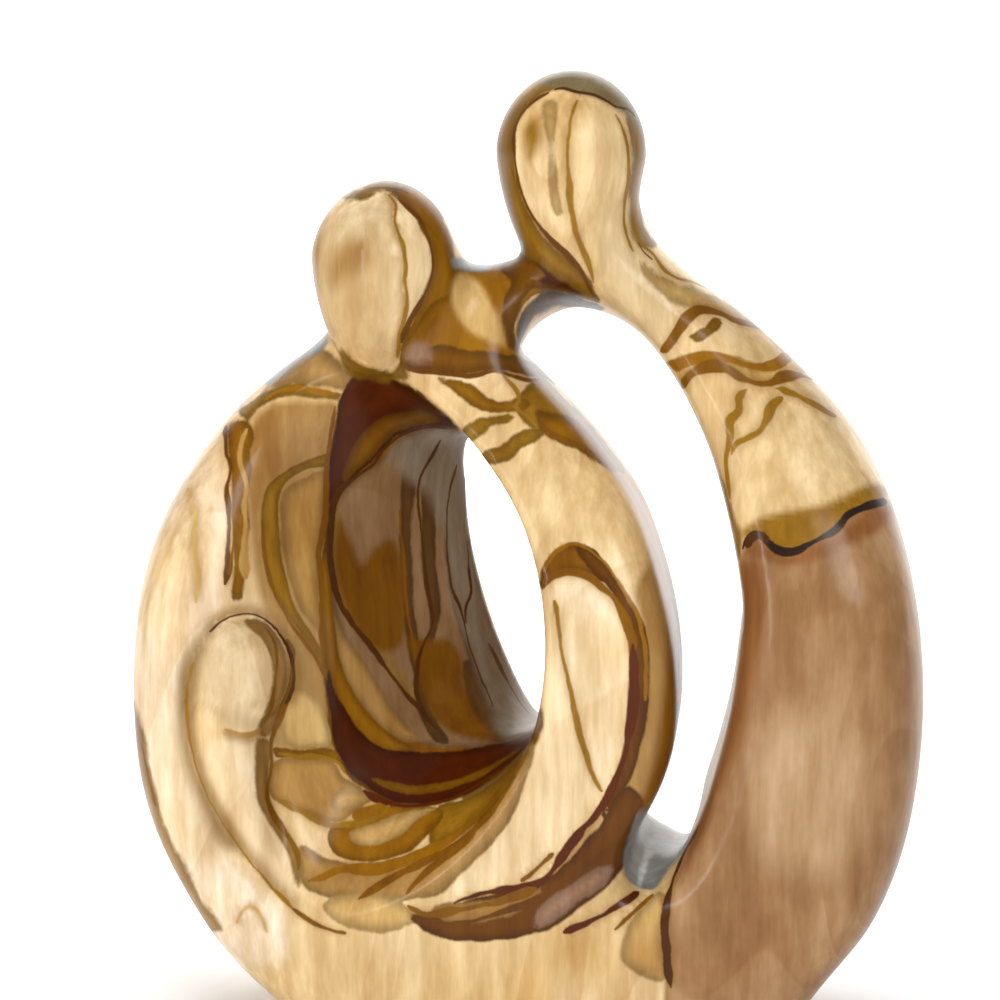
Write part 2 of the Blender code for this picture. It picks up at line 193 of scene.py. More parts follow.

# A growth line: its colour, half its width and how far it fades to the right of its way (or to the
# left, if below zero), all in pixels, and the pixels that it passes. A few lines, as marked, are
# painted shadow and shade rather than grain
Vein = namedtuple("Vein", "colour width fade points")
VEINS = {
    "father_face_left": Vein(UMBER, 2.9, 7, [
        (559, 88), (540, 97), (524, 110), (515, 128), (514, 150), (517, 175), (523, 196), (531, 213),
        (546, 234), (563, 251), (579, 268), (588, 285), (597, 302)]),
    "father_face_middle": Vein(OLIVE, 3.0, 0, [
        (580, 94), (574, 107), (570, 122), (568, 150), (569, 180), (571, 205), (576, 232), (585, 254),
        (591, 272), (595, 290)]),
    "father_crown": Vein(DARK, 1.8, -5, [
        (548, 92), (562, 88), (577, 92), (594, 95), (606, 101), (617, 107), (629, 110), (638, 119)]),
    "father_face_right": Vein(OLIVE, 2.4, 0, [
        (612, 108), (621, 124), (627, 143), (629, 163), (628, 182), (625, 200), (624, 220), (628, 240),
        (637, 258)]),
    "father_temple": Vein(OLIVE, 3.6, 0, [
        (632, 116), (637, 132), (639, 157), (638, 184), (635, 207), (634, 226), (641, 243), (653, 254),
        (664, 269), (677, 278), (692, 282), (712, 291), (734, 304), (751, 316), (767, 330), (782, 345)]),
    "father_neck": Vein(UMBER, 1.3, 0, [(637, 240), (644, 252), (655, 262)]),
    "mother_face": Vein(OLIVE, 2.2, 5, [
        (380, 191), (390, 196), (396, 206), (395, 219), (399, 235), (404, 250), (406, 267), (405, 282),
        (407, 297), (406, 313), (402, 328), (399, 341), (398, 354), (395, 365)]),
    "mother_temple": Vein(UMBER, 2.9, -8, [
        (393, 194), (408, 208), (421, 222), (428, 238), (432, 253), (433, 268), (430, 282), (425, 294),
        (417, 308), (410, 321), (403, 337), (400, 349)]),
    "mother_crown": Vein(UMBER, 1.6, 0, [(366, 189), (382, 187), (400, 190), (412, 194)]),
    "shoulder_seam": Vein(UMBER, 2.9, -6, [
        (401, 365), (415, 370), (431, 371), (451, 374), (471, 376), (492, 371), (514, 376), (531, 380),
        (546, 378)]),
    "armpit": Vein(DARK, 2.4, 0, [(522, 361), (532, 364), (541, 369), (552, 381)]),
    "shoulder_line": Vein(OLIVE, 2.4, 0, [
        (499, 371), (509, 382), (517, 392), (519, 402), (514, 407), (525, 415), (534, 424), (541, 431)]),
    "shoulder_lens_edge": Vein(BROWN, 2.6, 0, [
        (541, 431), (556, 436), (574, 443), (590, 451), (606, 461), (617, 474)]),
    "limb_arc": Vein(BROWN, 3.8, 0, [
        (541, 592), (548, 579), (560, 573), (574, 572), (589, 576), (601, 586), (614, 599), (624, 617),
        (631, 637), (634, 660)]),
    "limb_arc_side": Vein(RED_BROWN, 4.4, -10, [
        (630, 632), (634, 660), (634, 684), (633, 709), (629, 734), (624, 757), (616, 778), (608, 796),
        (598, 811), (586, 826), (573, 841), (560, 859), (546, 878), (532, 885), (509, 890),
        (484, 893), (463, 899), (443, 909)]),
    "limb_cap": Vein(GOLDEN, 1.8, 6, [
        (541, 585), (546, 566), (556, 552), (573, 543), (588, 549), (602, 561), (615, 577), (626, 595),
        (638, 616), (644, 640), (646, 665), (646, 690), (643, 715)]),
    "limb_streak": Vein(OLIVE, 3.0, 0, [
        (552, 592), (558, 622), (561, 648), (567, 675), (573, 703), (579, 730), (586, 755), (593, 776),
        (601, 791), (609, 797)]),
    "limb_foot": Vein(BROWN, 2.5, 0, [(555, 852), (543, 863), (530, 874), (519, 883)]),
    "foot_band": Vein(UMBER, 3.6, -9, [
        (404, 921), (425, 924), (448, 925), (471, 921), (509, 910), (532, 902), (553, 891), (578, 872),
        (604, 854), (630, 830)]),
    "foot_line": Vein(RED_BROWN, 3.4, 0, [
        (560, 934), (586, 923), (604, 914), (624, 902), (641, 890)]),
    "foot_tan_line": Vein(BROWN, 2.0, 0, [(612, 932), (626, 919), (640, 906), (656, 892)]),
    "father_hem": Vein(DARK, 3.4, 0, [
        (701, 818), (696, 832), (687, 847), (679, 864), (673, 880), (669, 894), (666, 908), (665, 928),
        (667, 960), (672, 995)]),
    "father_heart_edge": Vein(BLACK, 3.6, 0, [
        (741, 556), (746, 542), (757, 533), (765, 540), (776, 549), (792, 552), (808, 545), (822, 537),
        (836, 531), (849, 515), (866, 506), (888, 500)]),
    "father_heart_shadow": Vein(DARK, 4.5, 0, [(746, 548), (752, 538), (762, 535), (768, 543)]),
    "back_loop": Vein(BROWN, 4.6, 0, [
        (658, 355), (668, 344), (678, 330), (690, 315), (703, 309), (721, 313), (735, 320), (755, 326),
        (773, 338), (787, 350)]),
    "back_second": Vein(GOLDEN, 5.0, 4, [
        (664, 362), (675, 366), (688, 361), (707, 357), (725, 359), (744, 364), (762, 368), (778, 363),
        (791, 353)]),
    "back_third": Vein(BROWN, 5.4, 0, [
        (681, 388), (691, 375), (707, 367), (725, 367), (739, 376), (755, 383), (771, 383), (786, 376),
        (803, 376), (819, 383), (832, 395)]),
    "back_branch": Vein(OLIVE, 4.6, 0, [
        (750, 387), (739, 398), (739, 410), (730, 421), (730, 438), (726, 458), (728, 482), (730, 502)]),
    "back_twig": Vein(OLIVE, 4.6, 0, [
        (785, 396), (773, 404), (767, 419), (760, 430), (748, 438), (735, 445), (730, 457)]),
    "back_wisp": Vein(OLIVE, 4.4, 0, [(775, 387), (792, 394), (808, 401), (824, 410), (838, 417)]),
    "ring_seam": Vein(UMBER, 3.4, -4, [
        (225, 424), (227, 453), (231, 470), (227, 490), (229, 516), (228, 550), (228, 572), (223, 592)]),
    "ring_seam_twin": Vein(BROWN, 1.8, 0, [
        (231, 466), (235, 477), (237, 494), (233, 516), (234, 538), (231, 564), (228, 582)]),
    "ring_shade": Vein(TAN, 4.6, 0, [
        (249, 424), (242, 441), (239, 460), (246, 482), (244, 506), (246, 526), (244, 550), (247, 584)]),
    "ring_streak": Vein(HONEY, 3.6, 0, [(187, 485), (195, 516), (194, 545), (198, 574), (195, 608)]),
    "bowl_loop_edge": Vein(BROWN, 2.1, 0, [
        (262, 512), (263, 540), (267, 566), (274, 592), (287, 617), (303, 640), (317, 659), (326, 684)]),
    "bowl_shoulder": Vein(GOLDEN, 4.2, 0, [(262, 402), (276, 392), (295, 388), (316, 391), (336, 395)]),
    "hollow_edge": Vein(BROWN, 2.8, 0, [
        (337, 396), (333, 420), (329, 446), (326, 478), (326, 498), (324, 525), (319, 550), (320, 575),
        (320, 600), (321, 625), (323, 648), (327, 672)]),
    "wall_top": Vein(DARK, 3.4, 0, [
        (331, 530), (332, 512), (338, 494), (353, 479), (372, 465), (387, 446), (406, 433), (433, 427),
        (452, 430)]),
    "wall_left": Vein(DARK, 3.3, -10, [
        (336, 497), (331, 530), (331, 564), (338, 598), (353, 625), (370, 645), (384, 664), (397, 683),
        (413, 702), (426, 717), (443, 737)]),
    "wall_second": Vein(BROWN, 1.6, 0, [
        (398, 500), (401, 530), (404, 564), (406, 598), (409, 622), (414, 647), (416, 671)]),
    "wall_third": Vein(DARK, 2.2, -6, [
        (446, 430), (432, 456), (421, 476), (418, 501), (421, 530), (424, 559), (428, 593), (433, 622),
        (421, 651), (416, 678), (418, 700), (428, 719), (441, 738)]),
    "wall_fourth": Vein(DARK, 1.8, 0, [
        (462, 450), (450, 489), (447, 525), (448, 562), (453, 591), (462, 613), (466, 634), (474, 659),
        (486, 690), (499, 719)]),
    "wall_fifth": Vein(DARK, 1.6, 0, [(467, 535), (469, 569), (471, 593), (466, 607), (466, 630)]),
    "wall_rim": Vein(UMBER, 2.9, 0, [(487, 640), (497, 660), (508, 682), (520, 702), (531, 716)]),
    "floor_red_edge": Vein(RED_BROWN, 3.4, 0, [
        (357, 787), (377, 799), (404, 806), (432, 803), (454, 797), (484, 781), (514, 759), (529, 744)]),
    "floor_ragged": Vein(OLIVE, 3.4, 0, [
        (274, 797), (295, 808), (311, 816), (325, 824), (340, 825), (363, 822), (380, 813), (394, 803)]),
    "floor_blob": Vein(GOLDEN, 5.0, 0, [(352, 817), (368, 812), (386, 806)]),
    "floor_long": Vein(GOLDEN, 5.5, 0, [
        (300, 883), (322, 877), (344, 869), (377, 869), (404, 861), (432, 849), (459, 833), (481, 814),
        (500, 789), (519, 765), (529, 749)]),
    "floor_long_core": Vein(UMBER, 1.3, 0, [
        (404, 868), (432, 856), (459, 840), (483, 818), (503, 792), (522, 766)]),
    "floor_outer": Vein(BROWN, 3.9, 0, [
        (352, 903), (371, 891), (399, 874), (426, 861), (454, 847), (476, 828), (498, 803), (515, 778)]),
    "floor_edge": Vein(BROWN, 3.3, 0, [(403, 897), (421, 877), (437, 863), (459, 847), (478, 830)]),
    "floor_front": Vein(BROWN, 4.4, 0, [
        (404, 902), (415, 911), (427, 915), (459, 910), (500, 901), (541, 887)]),
    "floor_seam": Vein(OLIVE, 3.1, 0, [(275, 753), (300, 757), (322, 757), (339, 763), (346, 776)]),
    "cheek_line": Vein(BROWN, 3.4, 0, [
        (284, 630), (291, 655), (289, 690), (280, 716), (271, 742), (272, 765), (267, 790), (273, 814),
        (286, 833), (297, 853), (298, 880)]),
    "cheek_edge": Vein(BROWN, 2.2, 0, [
        (263, 624), (274, 641), (277, 660), (275, 684), (271, 708), (262, 729)]),
    # A painted shadow line along the raised top and right edge of the child's head
    "child_head": Vein(DARK, 2.0, -8, [
        (204, 640), (213, 628), (226, 618), (242, 614), (258, 616), (272, 625), (283, 640), (291, 658),
        (294, 680), (289, 698), (280, 712)]),
    # Painted shade under the child's chin
    "child_chin_painted_shade": Vein(TAN, 2.6, 6, [(222, 728), (236, 734), (250, 735), (263, 729)]),
    # A painted shadow in the groove to the left of the child
    "child_groove_painted_shadow": Vein(OLIVE, 1.8, -9, [
        (200, 646), (192, 668), (187, 695), (188, 724), (193, 754), (203, 786), (218, 816), (238, 846),
        (262, 876), (288, 904), (306, 920)]),
    "rim_foot": Vein(BROWN, 2.0, 0, [(290, 906), (305, 918), (324, 928), (350, 934)]),
    "ring_foot_streak": Vein(HONEY, 2.6, 0, [(236, 926), (243, 910), (252, 906), (261, 918), (268, 934)]),
    "ring_outer_streak": Vein(BROWN, 3.2, 0, [(141, 742), (146, 765), (151, 787), (156, 808)]),
}

# A patch: its colour, how many pixels its edge takes to turn, and its outline in pixels
Patch = namedtuple("Patch", "colour edge points")

# Soft patches that lie under the others; as marked, some are painted sheen and painted shade
GROUNDS = {
    # The left rim: pale wood with a painted whitish sheen
    "ring_left": Patch(CHALK_AND_SHEEN, 12, [
        (120, 560), (160, 480), (222, 430), (226, 480), (226, 560), (216, 610), (192, 650), (184, 700),
        (190, 760), (214, 820), (244, 872), (286, 920), (280, 960), (210, 960), (150, 880), (118, 740)]),
    "child_head": Patch(STRAW, 8, [
        (204, 650), (214, 632), (228, 622), (242, 618), (256, 626), (268, 645), (272, 670), (266, 700),
        (252, 722), (236, 730), (218, 722), (206, 700), (200, 674)]),
    "child": Patch(PALE, 8, [
        (212, 740), (240, 742), (254, 760), (270, 822), (292, 860), (296, 900), (270, 882), (236, 834),
        (210, 790), (200, 760)]),
    # A darker cream: painted shade on the upper faces of the mother's face, the father's neck and his
    # back
    "mother_face": Patch(STRAW, 10, [
        (330, 230), (356, 204), (384, 204), (392, 240), (400, 290), (396, 330), (388, 362), (362, 362),
        (342, 344), (328, 310), (322, 270)]),
    "father_neck": Patch(STRAW, 10, [
        (606, 240), (630, 250), (652, 272), (690, 292), (720, 306), (690, 306), (668, 330), (650, 350),
        (628, 326), (606, 302), (600, 270)]),
    "father_back": Patch(STRAW, 12, [
        (716, 310), (744, 320), (790, 356), (830, 396), (838, 440), (820, 410), (780, 386), (740, 360)]),
    "limb": Patch(PALE, 8, [
        (552, 590), (572, 580), (596, 590), (616, 620), (626, 670), (618, 740), (596, 796), (560, 844),
        (520, 876), (470, 890), (440, 898), (470, 868), (506, 830), (530, 780), (548, 720), (552, 650)]),
    "bowl": Patch(CLAY, 5, [
        (248, 440), (266, 408), (292, 401), (325, 402), (336, 402), (332, 430), (328, 456), (327, 490),
        (325, 530), (320, 560), (320, 610), (322, 650), (330, 700), (334, 745), (332, 757), (300, 752),
        (276, 745), (277, 705), (286, 670), (284, 640), (265, 610), (257, 580), (250, 520)]),
    "bowl_top": Patch(CLAY, 5, [
        (262, 424), (280, 410), (304, 406), (326, 410), (324, 434), (312, 452), (286, 458), (266, 474),
        (254, 496), (250, 462)]),
    "ring_right": Patch(CLAY, 5, [
        (606, 462), (640, 480), (665, 540), (684, 620), (684, 690), (676, 745), (662, 785), (640, 815),
        (606, 852), (580, 880), (590, 850), (610, 815), (630, 770), (640, 720), (646, 670), (644, 630),
        (634, 590), (650, 560), (636, 510)]),
}

# Patches with a clear edge, each over the ones before it; as marked, some are painted shadow, shade and
# reflections
PATCHES = {
    "ring_left_tan": Patch(TAN, 4.0, [
        (132, 700), (146, 738), (152, 775), (164, 815), (182, 858), (204, 900), (222, 930), (200, 930),
        (168, 890), (142, 820)]),
    "ring_top": Patch(CLAY, 4.0, [
        (244, 424), (262, 392), (288, 368), (315, 345), (330, 352), (345, 365), (356, 379), (345, 392),
        (320, 388), (290, 385), (266, 396)]),
    "ring_gold": Patch(GOLDEN, 2.6, [
        (228, 424), (244, 420), (253, 436), (249, 452), (252, 470), (247, 492), (249, 520), (246, 550),
        (246, 576), (241, 600), (233, 602), (232, 580), (233, 550), (231, 520), (233, 492), (230, 470),
        (228, 448)]),
    "ring_arc": Patch(OLIVE, 2.6, [
        (238, 410), (256, 398), (276, 388), (296, 385), (318, 389), (342, 393), (340, 400), (316, 399),
        (292, 395), (274, 399), (258, 408), (246, 420)]),
    "hollow": Patch(BROWN, 3.0, [
        (342, 392), (356, 374), (392, 376), (430, 400), (460, 430), (470, 446), (468, 500), (482, 590),
        (512, 670), (544, 716), (536, 744), (520, 762), (486, 788), (455, 800), (402, 808), (360, 786),
        (336, 758), (324, 690), (319, 610), (323, 540), (326, 470), (334, 420)]),
    "bowl_right": Patch(TAN, 3.0, [
        (284, 492), (300, 480), (325, 472), (325, 520), (320, 560), (320, 600), (322, 642), (312, 626),
        (300, 610), (292, 590), (285, 560), (281, 530)]),
    "bowl_loop": Patch(OLIVE, 1.6, [
        (329, 454), (305, 461), (285, 471), (268, 485), (262, 505), (262, 535), (264, 565), (272, 590),
        (282, 607), (297, 628), (310, 645), (319, 660), (325, 680), (329, 700), (333, 690), (326, 664),
        (321, 648), (310, 630), (298, 612), (290, 590), (282, 560), (279, 535), (278, 505), (282, 488),
        (292, 477), (308, 469), (329, 464)]),
    "bowl_lobe": Patch(HONEY, 2.0, [
        (283, 690), (300, 688), (316, 698), (326, 718), (330, 744), (310, 748), (290, 747), (282, 735),
        (280, 710)]),
    "bowl_seam": Patch(GOLDEN, 2.0, [
        (272, 748), (300, 750), (332, 749), (346, 756), (338, 764), (322, 757), (300, 757), (276, 757)]),
    "lobe_below": Patch(TAN, 2.2, [
        (281, 758), (320, 757), (335, 762), (341, 775), (356, 785), (375, 797), (362, 808), (345, 821),
        (326, 823), (310, 815), (290, 808), (273, 799), (268, 780), (272, 765)]),
    "lobe_pale": Patch(HONEY, 2.6, [
        (330, 800), (342, 788), (354, 788), (372, 797), (360, 806), (346, 812), (336, 814)]),
    # The hollow's ceiling: a dark grain layer, darkened further as painted shade
    "hollow_ceiling": Patch(CEILING, 2.0, [
        (342, 392), (352, 377), (372, 374), (392, 379), (412, 389), (430, 402), (447, 416), (456, 428),
        (440, 429), (420, 430), (404, 433), (392, 440), (384, 449), (370, 464), (352, 480), (338, 496),
        (329, 504), (327, 480), (331, 455), (336, 425)]),
    "ceiling_lens": Patch(BRONZE, 2.4, [
        (344, 482), (349, 456), (361, 436), (377, 420), (394, 413), (415, 410), (431, 413), (441, 421),
        (420, 426), (400, 431), (388, 440), (375, 455), (358, 470)]),
    "hollow_wall": Patch(WALL, 1.8, [
        (334, 502), (352, 481), (372, 467), (388, 452), (404, 437), (425, 430), (441, 428), (456, 433),
        (472, 444), (468, 470), (468, 520), (473, 560), (483, 600), (498, 640), (516, 680), (534, 708),
        (541, 720), (532, 734), (500, 744), (460, 748), (430, 746), (400, 732), (380, 702), (350, 652),
        (334, 612), (329, 560), (330, 520)]),
    "wall_first_stripe": Patch(DUSK, 2.6, [
        (402, 470), (410, 452), (420, 440), (425, 446), (417, 470), (413, 510), (413, 560), (415, 610),
        (421, 650), (425, 682), (416, 678), (407, 640), (401, 590), (399, 530)]),
    "wall_second_stripe": Patch(DUSK, 2.2, [
        (425, 470), (436, 446), (446, 435), (453, 441), (442, 462), (436, 500), (436, 560), (440, 612),
        (432, 650), (427, 690), (433, 716), (449, 743), (434, 741), (419, 712), (414, 680), (420, 650),
        (430, 622), (424, 590), (421, 530)]),
    "wall_third_stripe": Patch(DUSK, 2.6, [
        (445, 540), (449, 500), (456, 462), (464, 446), (467, 460), (461, 500), (459, 550), (465, 590),
        (474, 620), (481, 650), (495, 690), (512, 726), (500, 730), (482, 696), (469, 660), (461, 630),
        (451, 598)]),
    "wall_fourth_stripe": Patch(DUSK, 2.2, [
        (464, 660), (476, 664), (485, 690), (499, 716), (514, 737), (500, 742), (482, 729), (470, 704),
        (463, 684)]),
    "wall_rim_stripe": Patch(GREY, 2.2, [
        (484, 636), (494, 650), (508, 678), (524, 704), (537, 716), (530, 726), (513, 706), (497, 680),
        (486, 656)]),
    "left_strip": Patch(CLAY, 1.8, [
        (332, 606), (344, 636), (364, 662), (380, 688), (393, 710), (412, 730), (426, 740), (400, 740),
        (378, 724), (360, 702), (346, 680), (336, 652)]),
    "left_band": Patch(GOLDEN, 1.8, [
        (321, 560), (327, 552), (331, 580), (334, 612), (338, 650), (348, 682), (362, 706), (382, 727),
        (402, 742), (414, 750), (386, 752), (364, 740), (346, 718), (334, 692), (325, 656), (321, 610)]),
    "hollow_floor": Patch(CEILING, 2.0, [
        (328, 668), (335, 692), (350, 717), (366, 737), (386, 749), (420, 752), (460, 750), (500, 744),
        (534, 732), (529, 744), (516, 757), (500, 771), (480, 786), (455, 798), (430, 805), (402, 805),
        (381, 796), (365, 784), (350, 772), (340, 758), (334, 745), (331, 716), (326, 690)]),
    "floor_lens": Patch(GOLDEN, 2.0, [
        (372, 779), (400, 784), (430, 784), (460, 778), (490, 766), (520, 748), (502, 764), (472, 781),
        (440, 791), (415, 795), (392, 790)]),
    "floor_stripes": Patch(CLAY, 2.6, [
        (300, 846), (330, 860), (360, 862), (400, 858), (430, 842), (446, 812), (480, 790), (515, 762),
        (533, 742), (524, 788), (504, 828), (478, 858), (455, 880), (436, 896), (408, 900), (380, 906),
        (350, 900), (322, 896), (302, 885)]),
    "floor_pale": Patch(HONEY, 3.0, [
        (322, 906), (352, 892), (384, 894), (408, 906), (420, 918), (400, 930), (360, 930), (336, 922)]),
    "floor_tail": Patch(OLIVE, 2.6, [
        (436, 808), (462, 800), (486, 788), (512, 766), (530, 748), (520, 772), (500, 800), (478, 822),
        (452, 838), (430, 846)]),
    "floor_ring": Patch(GOLDEN, 2.0, [
        (329, 828), (350, 822), (374, 807), (386, 803), (430, 806), (443, 812), (428, 835), (412, 850),
        (386, 860), (350, 861), (332, 850), (327, 838)]),
    "floor_island": Patch(HONEY, 2.0, [
        (350, 832), (352, 842), (366, 846), (386, 843), (401, 835), (417, 820), (437, 808), (405, 812),
        (386, 818), (366, 825)]),
    "mother_crown": Patch(OLIVE, 4.0, [
        (344, 198), (366, 186), (396, 178), (424, 186), (404, 197), (384, 193), (366, 199)]),
    "mother_temple": Patch(GOLDEN, 2.6, [
        (394, 190), (424, 186), (444, 220), (454, 250), (458, 285), (452, 302), (440, 312), (430, 332),
        (424, 348), (400, 352), (405, 335), (415, 312), (425, 290), (432, 268), (429, 245), (418, 222),
        (405, 206)]),
    # Painted shadow under the mother's chin
    "mother_chin_painted_shadow": Patch(OLIVE, 4.0, [
        (340, 345), (352, 358), (375, 369), (392, 371), (402, 362), (408, 378), (386, 382), (360, 380),
        (344, 374)]),
    "neck": Patch(GOLDEN, 2.2, [
        (400, 352), (412, 330), (430, 305), (450, 290), (455, 266), (480, 268), (500, 262), (520, 250),
        (542, 262), (562, 268), (580, 280), (600, 303), (560, 290), (530, 300), (514, 330), (520, 346),
        (532, 358), (552, 376), (520, 372), (495, 366), (470, 374), (430, 371), (402, 369)]),
    # Dark wood under the father's chin, with painted shadow in it
    "neck_dark_and_chin_shadow": Patch(BRONZE, 3.0, [
        (500, 268), (520, 252), (542, 260), (562, 267), (580, 280), (600, 304), (570, 293), (542, 288),
        (528, 294), (518, 315), (512, 335), (519, 350), (507, 345), (501, 325), (505, 296), (510, 282)]),
    "neck_red_and_chin_shadow": Patch(RED_BROWN, 3.0, [
        (526, 250), (544, 260), (564, 267), (582, 282), (598, 302), (572, 290), (548, 283), (532, 284),
        (548, 276), (540, 268)]),
    "arm_band": Patch(BRONZE, 3.0, [
        (404, 366), (420, 352), (444, 344), (470, 350), (500, 354), (522, 358), (548, 372), (556, 382),
        (520, 374), (492, 370), (460, 374), (430, 371)]),
    "shoulder": Patch(OLIVE, 3.0, [
        (545, 378), (562, 394), (582, 414), (604, 440), (626, 472), (602, 464), (580, 452), (560, 441),
        (545, 432), (526, 424), (514, 404), (522, 390), (534, 382)]),
    "shoulder_band": Patch(GOLDEN, 2.4, [
        (438, 379), (468, 383), (484, 395), (500, 401), (520, 397), (530, 404), (512, 413), (488, 413),
        (470, 404), (454, 392)]),
    "shoulder_middle": Patch(OLIVE, 2.6, [
        (460, 437), (475, 420), (492, 415), (516, 413), (509, 423), (493, 427), (483, 435), (470, 442)]),
    "shoulder_low": Patch(OLIVE, 2.6, [
        (482, 453), (500, 446), (512, 436), (530, 429), (547, 430), (537, 441), (521, 449), (513, 459),
        (498, 464), (486, 462)]),
    "shoulder_dark": Patch(GOLDEN, 2.4, [
        (536, 412), (552, 414), (572, 418), (588, 430), (604, 452), (616, 472), (598, 462), (578, 450),
        (558, 442), (543, 432)]),
    "back_leaf": Patch(OLIVE, 2.0, [
        (688, 338), (702, 329), (715, 318), (723, 321), (713, 333), (698, 341)]),
    "limb_cap": Patch(BROWN, 2.0, [
        (541, 588), (545, 562), (560, 547), (578, 542), (596, 552), (610, 572), (600, 582), (585, 573),
        (565, 572), (551, 582)]),
    "limb_side": Patch(UMBER, 2.2, [
        (572, 545), (592, 549), (622, 584), (642, 622), (650, 660), (649, 700), (643, 742), (630, 780),
        (612, 808), (598, 826), (608, 795), (620, 760), (627, 720), (629, 680), (628, 640), (619, 612),
        (606, 586), (592, 572)]),
    "foot": Patch(UMBER, 2.4, [
        (408, 916), (440, 910), (480, 896), (520, 888), (546, 878), (575, 852), (600, 824), (628, 786),
        (646, 806), (632, 832), (626, 862), (602, 890), (572, 914), (542, 932), (500, 940), (440, 938)]),
    "foot_lens": Patch(MAUVE, 3.0, [
        (536, 910), (560, 890), (590, 872), (614, 866), (604, 884), (580, 902), (552, 922), (534, 930)]),
    "foot_tan": Patch(CLAY, 3.0, [
        (430, 908), (470, 902), (520, 894), (548, 882), (530, 906), (490, 920), (448, 922)]),
    "foot_right": Patch(HONEY, 3.0, [
        (622, 960), (626, 930), (640, 910), (660, 892), (668, 900), (664, 940), (664, 980)]),
    "father_left": Patch(OLIVE, 3.0, [
        (494, 150), (498, 110), (520, 82), (552, 70), (560, 86), (536, 98), (521, 115), (514, 140),
        (516, 170), (523, 200), (536, 225), (556, 250), (586, 275), (598, 302), (590, 300), (570, 284),
        (545, 268), (523, 252), (508, 215), (497, 180)]),
    "father_right": Patch(CLAY, 4.0, [
        (628, 114), (644, 132), (650, 170), (646, 205), (644, 225), (656, 244), (641, 247), (631, 230),
        (629, 200), (632, 160)]),
    "father_stripe": Patch(HONEY, 3.0, [
        (543, 104), (555, 100), (556, 140), (558, 186), (564, 214), (556, 216), (549, 186), (547, 140)]),
    "back_band": Patch(HONEY, 2.6, [
        (662, 364), (680, 356), (707, 352), (740, 358), (765, 364), (792, 354), (804, 374), (776, 385),
        (750, 382), (735, 374), (715, 367), (696, 374), (682, 388)]),
    "back_top": Patch(HONEY, 4.0, [
        (640, 262), (664, 276), (700, 290), (740, 310), (780, 345), (790, 356), (760, 332), (720, 314),
        (690, 308), (670, 300), (650, 286)]),
    "back_edge": Patch(TAN, 4.0, [
        (676, 388), (700, 420), (716, 460), (730, 500), (742, 540), (738, 560), (722, 520), (704, 468),
        (684, 420)]),
    "child_cap": Patch(CLAY, 2.6, [
        (242, 620), (264, 622), (280, 640), (288, 665), (286, 695), (276, 722), (265, 738), (256, 731),
        (266, 710), (272, 685), (270, 655), (262, 638), (250, 629)]),
    "child_side": Patch(CLAY, 3.0, [
        (256, 738), (272, 742), (270, 765), (268, 790), (276, 815), (290, 835), (302, 862), (300, 890),
        (286, 850), (268, 822), (256, 796), (256, 764)]),
    # Painted grey reflections on faces seen at a grazing angle: the gap's floor, the arm and the
    # shoulder; under the arm also painted shade
    "gap_floor_reflection": Patch(REFLECTED_SILVER, 3.0, [
        (643, 806), (668, 818), (696, 832), (682, 852), (666, 872), (656, 888), (640, 888), (627, 876),
        (624, 855), (632, 832)]),
    "arm_below_shade_and_reflection": Patch(REFLECTION_IN_SHADE, 3.0, [
        (519, 346), (517, 322), (528, 301), (545, 291), (576, 296), (604, 308), (590, 312), (560, 306),
        (540, 314), (526, 332)]),
    "arm_above_reflection": Patch(REFLECTED_SILVER, 3.0, [
        (452, 258), (480, 260), (522, 240), (520, 252), (500, 264), (475, 270), (455, 269)]),
    "shoulder_above_reflection": Patch(REFLECTED_SILVER, 3.0, [
        (326, 326), (296, 346), (262, 378), (268, 385), (298, 362), (328, 344)]),
}

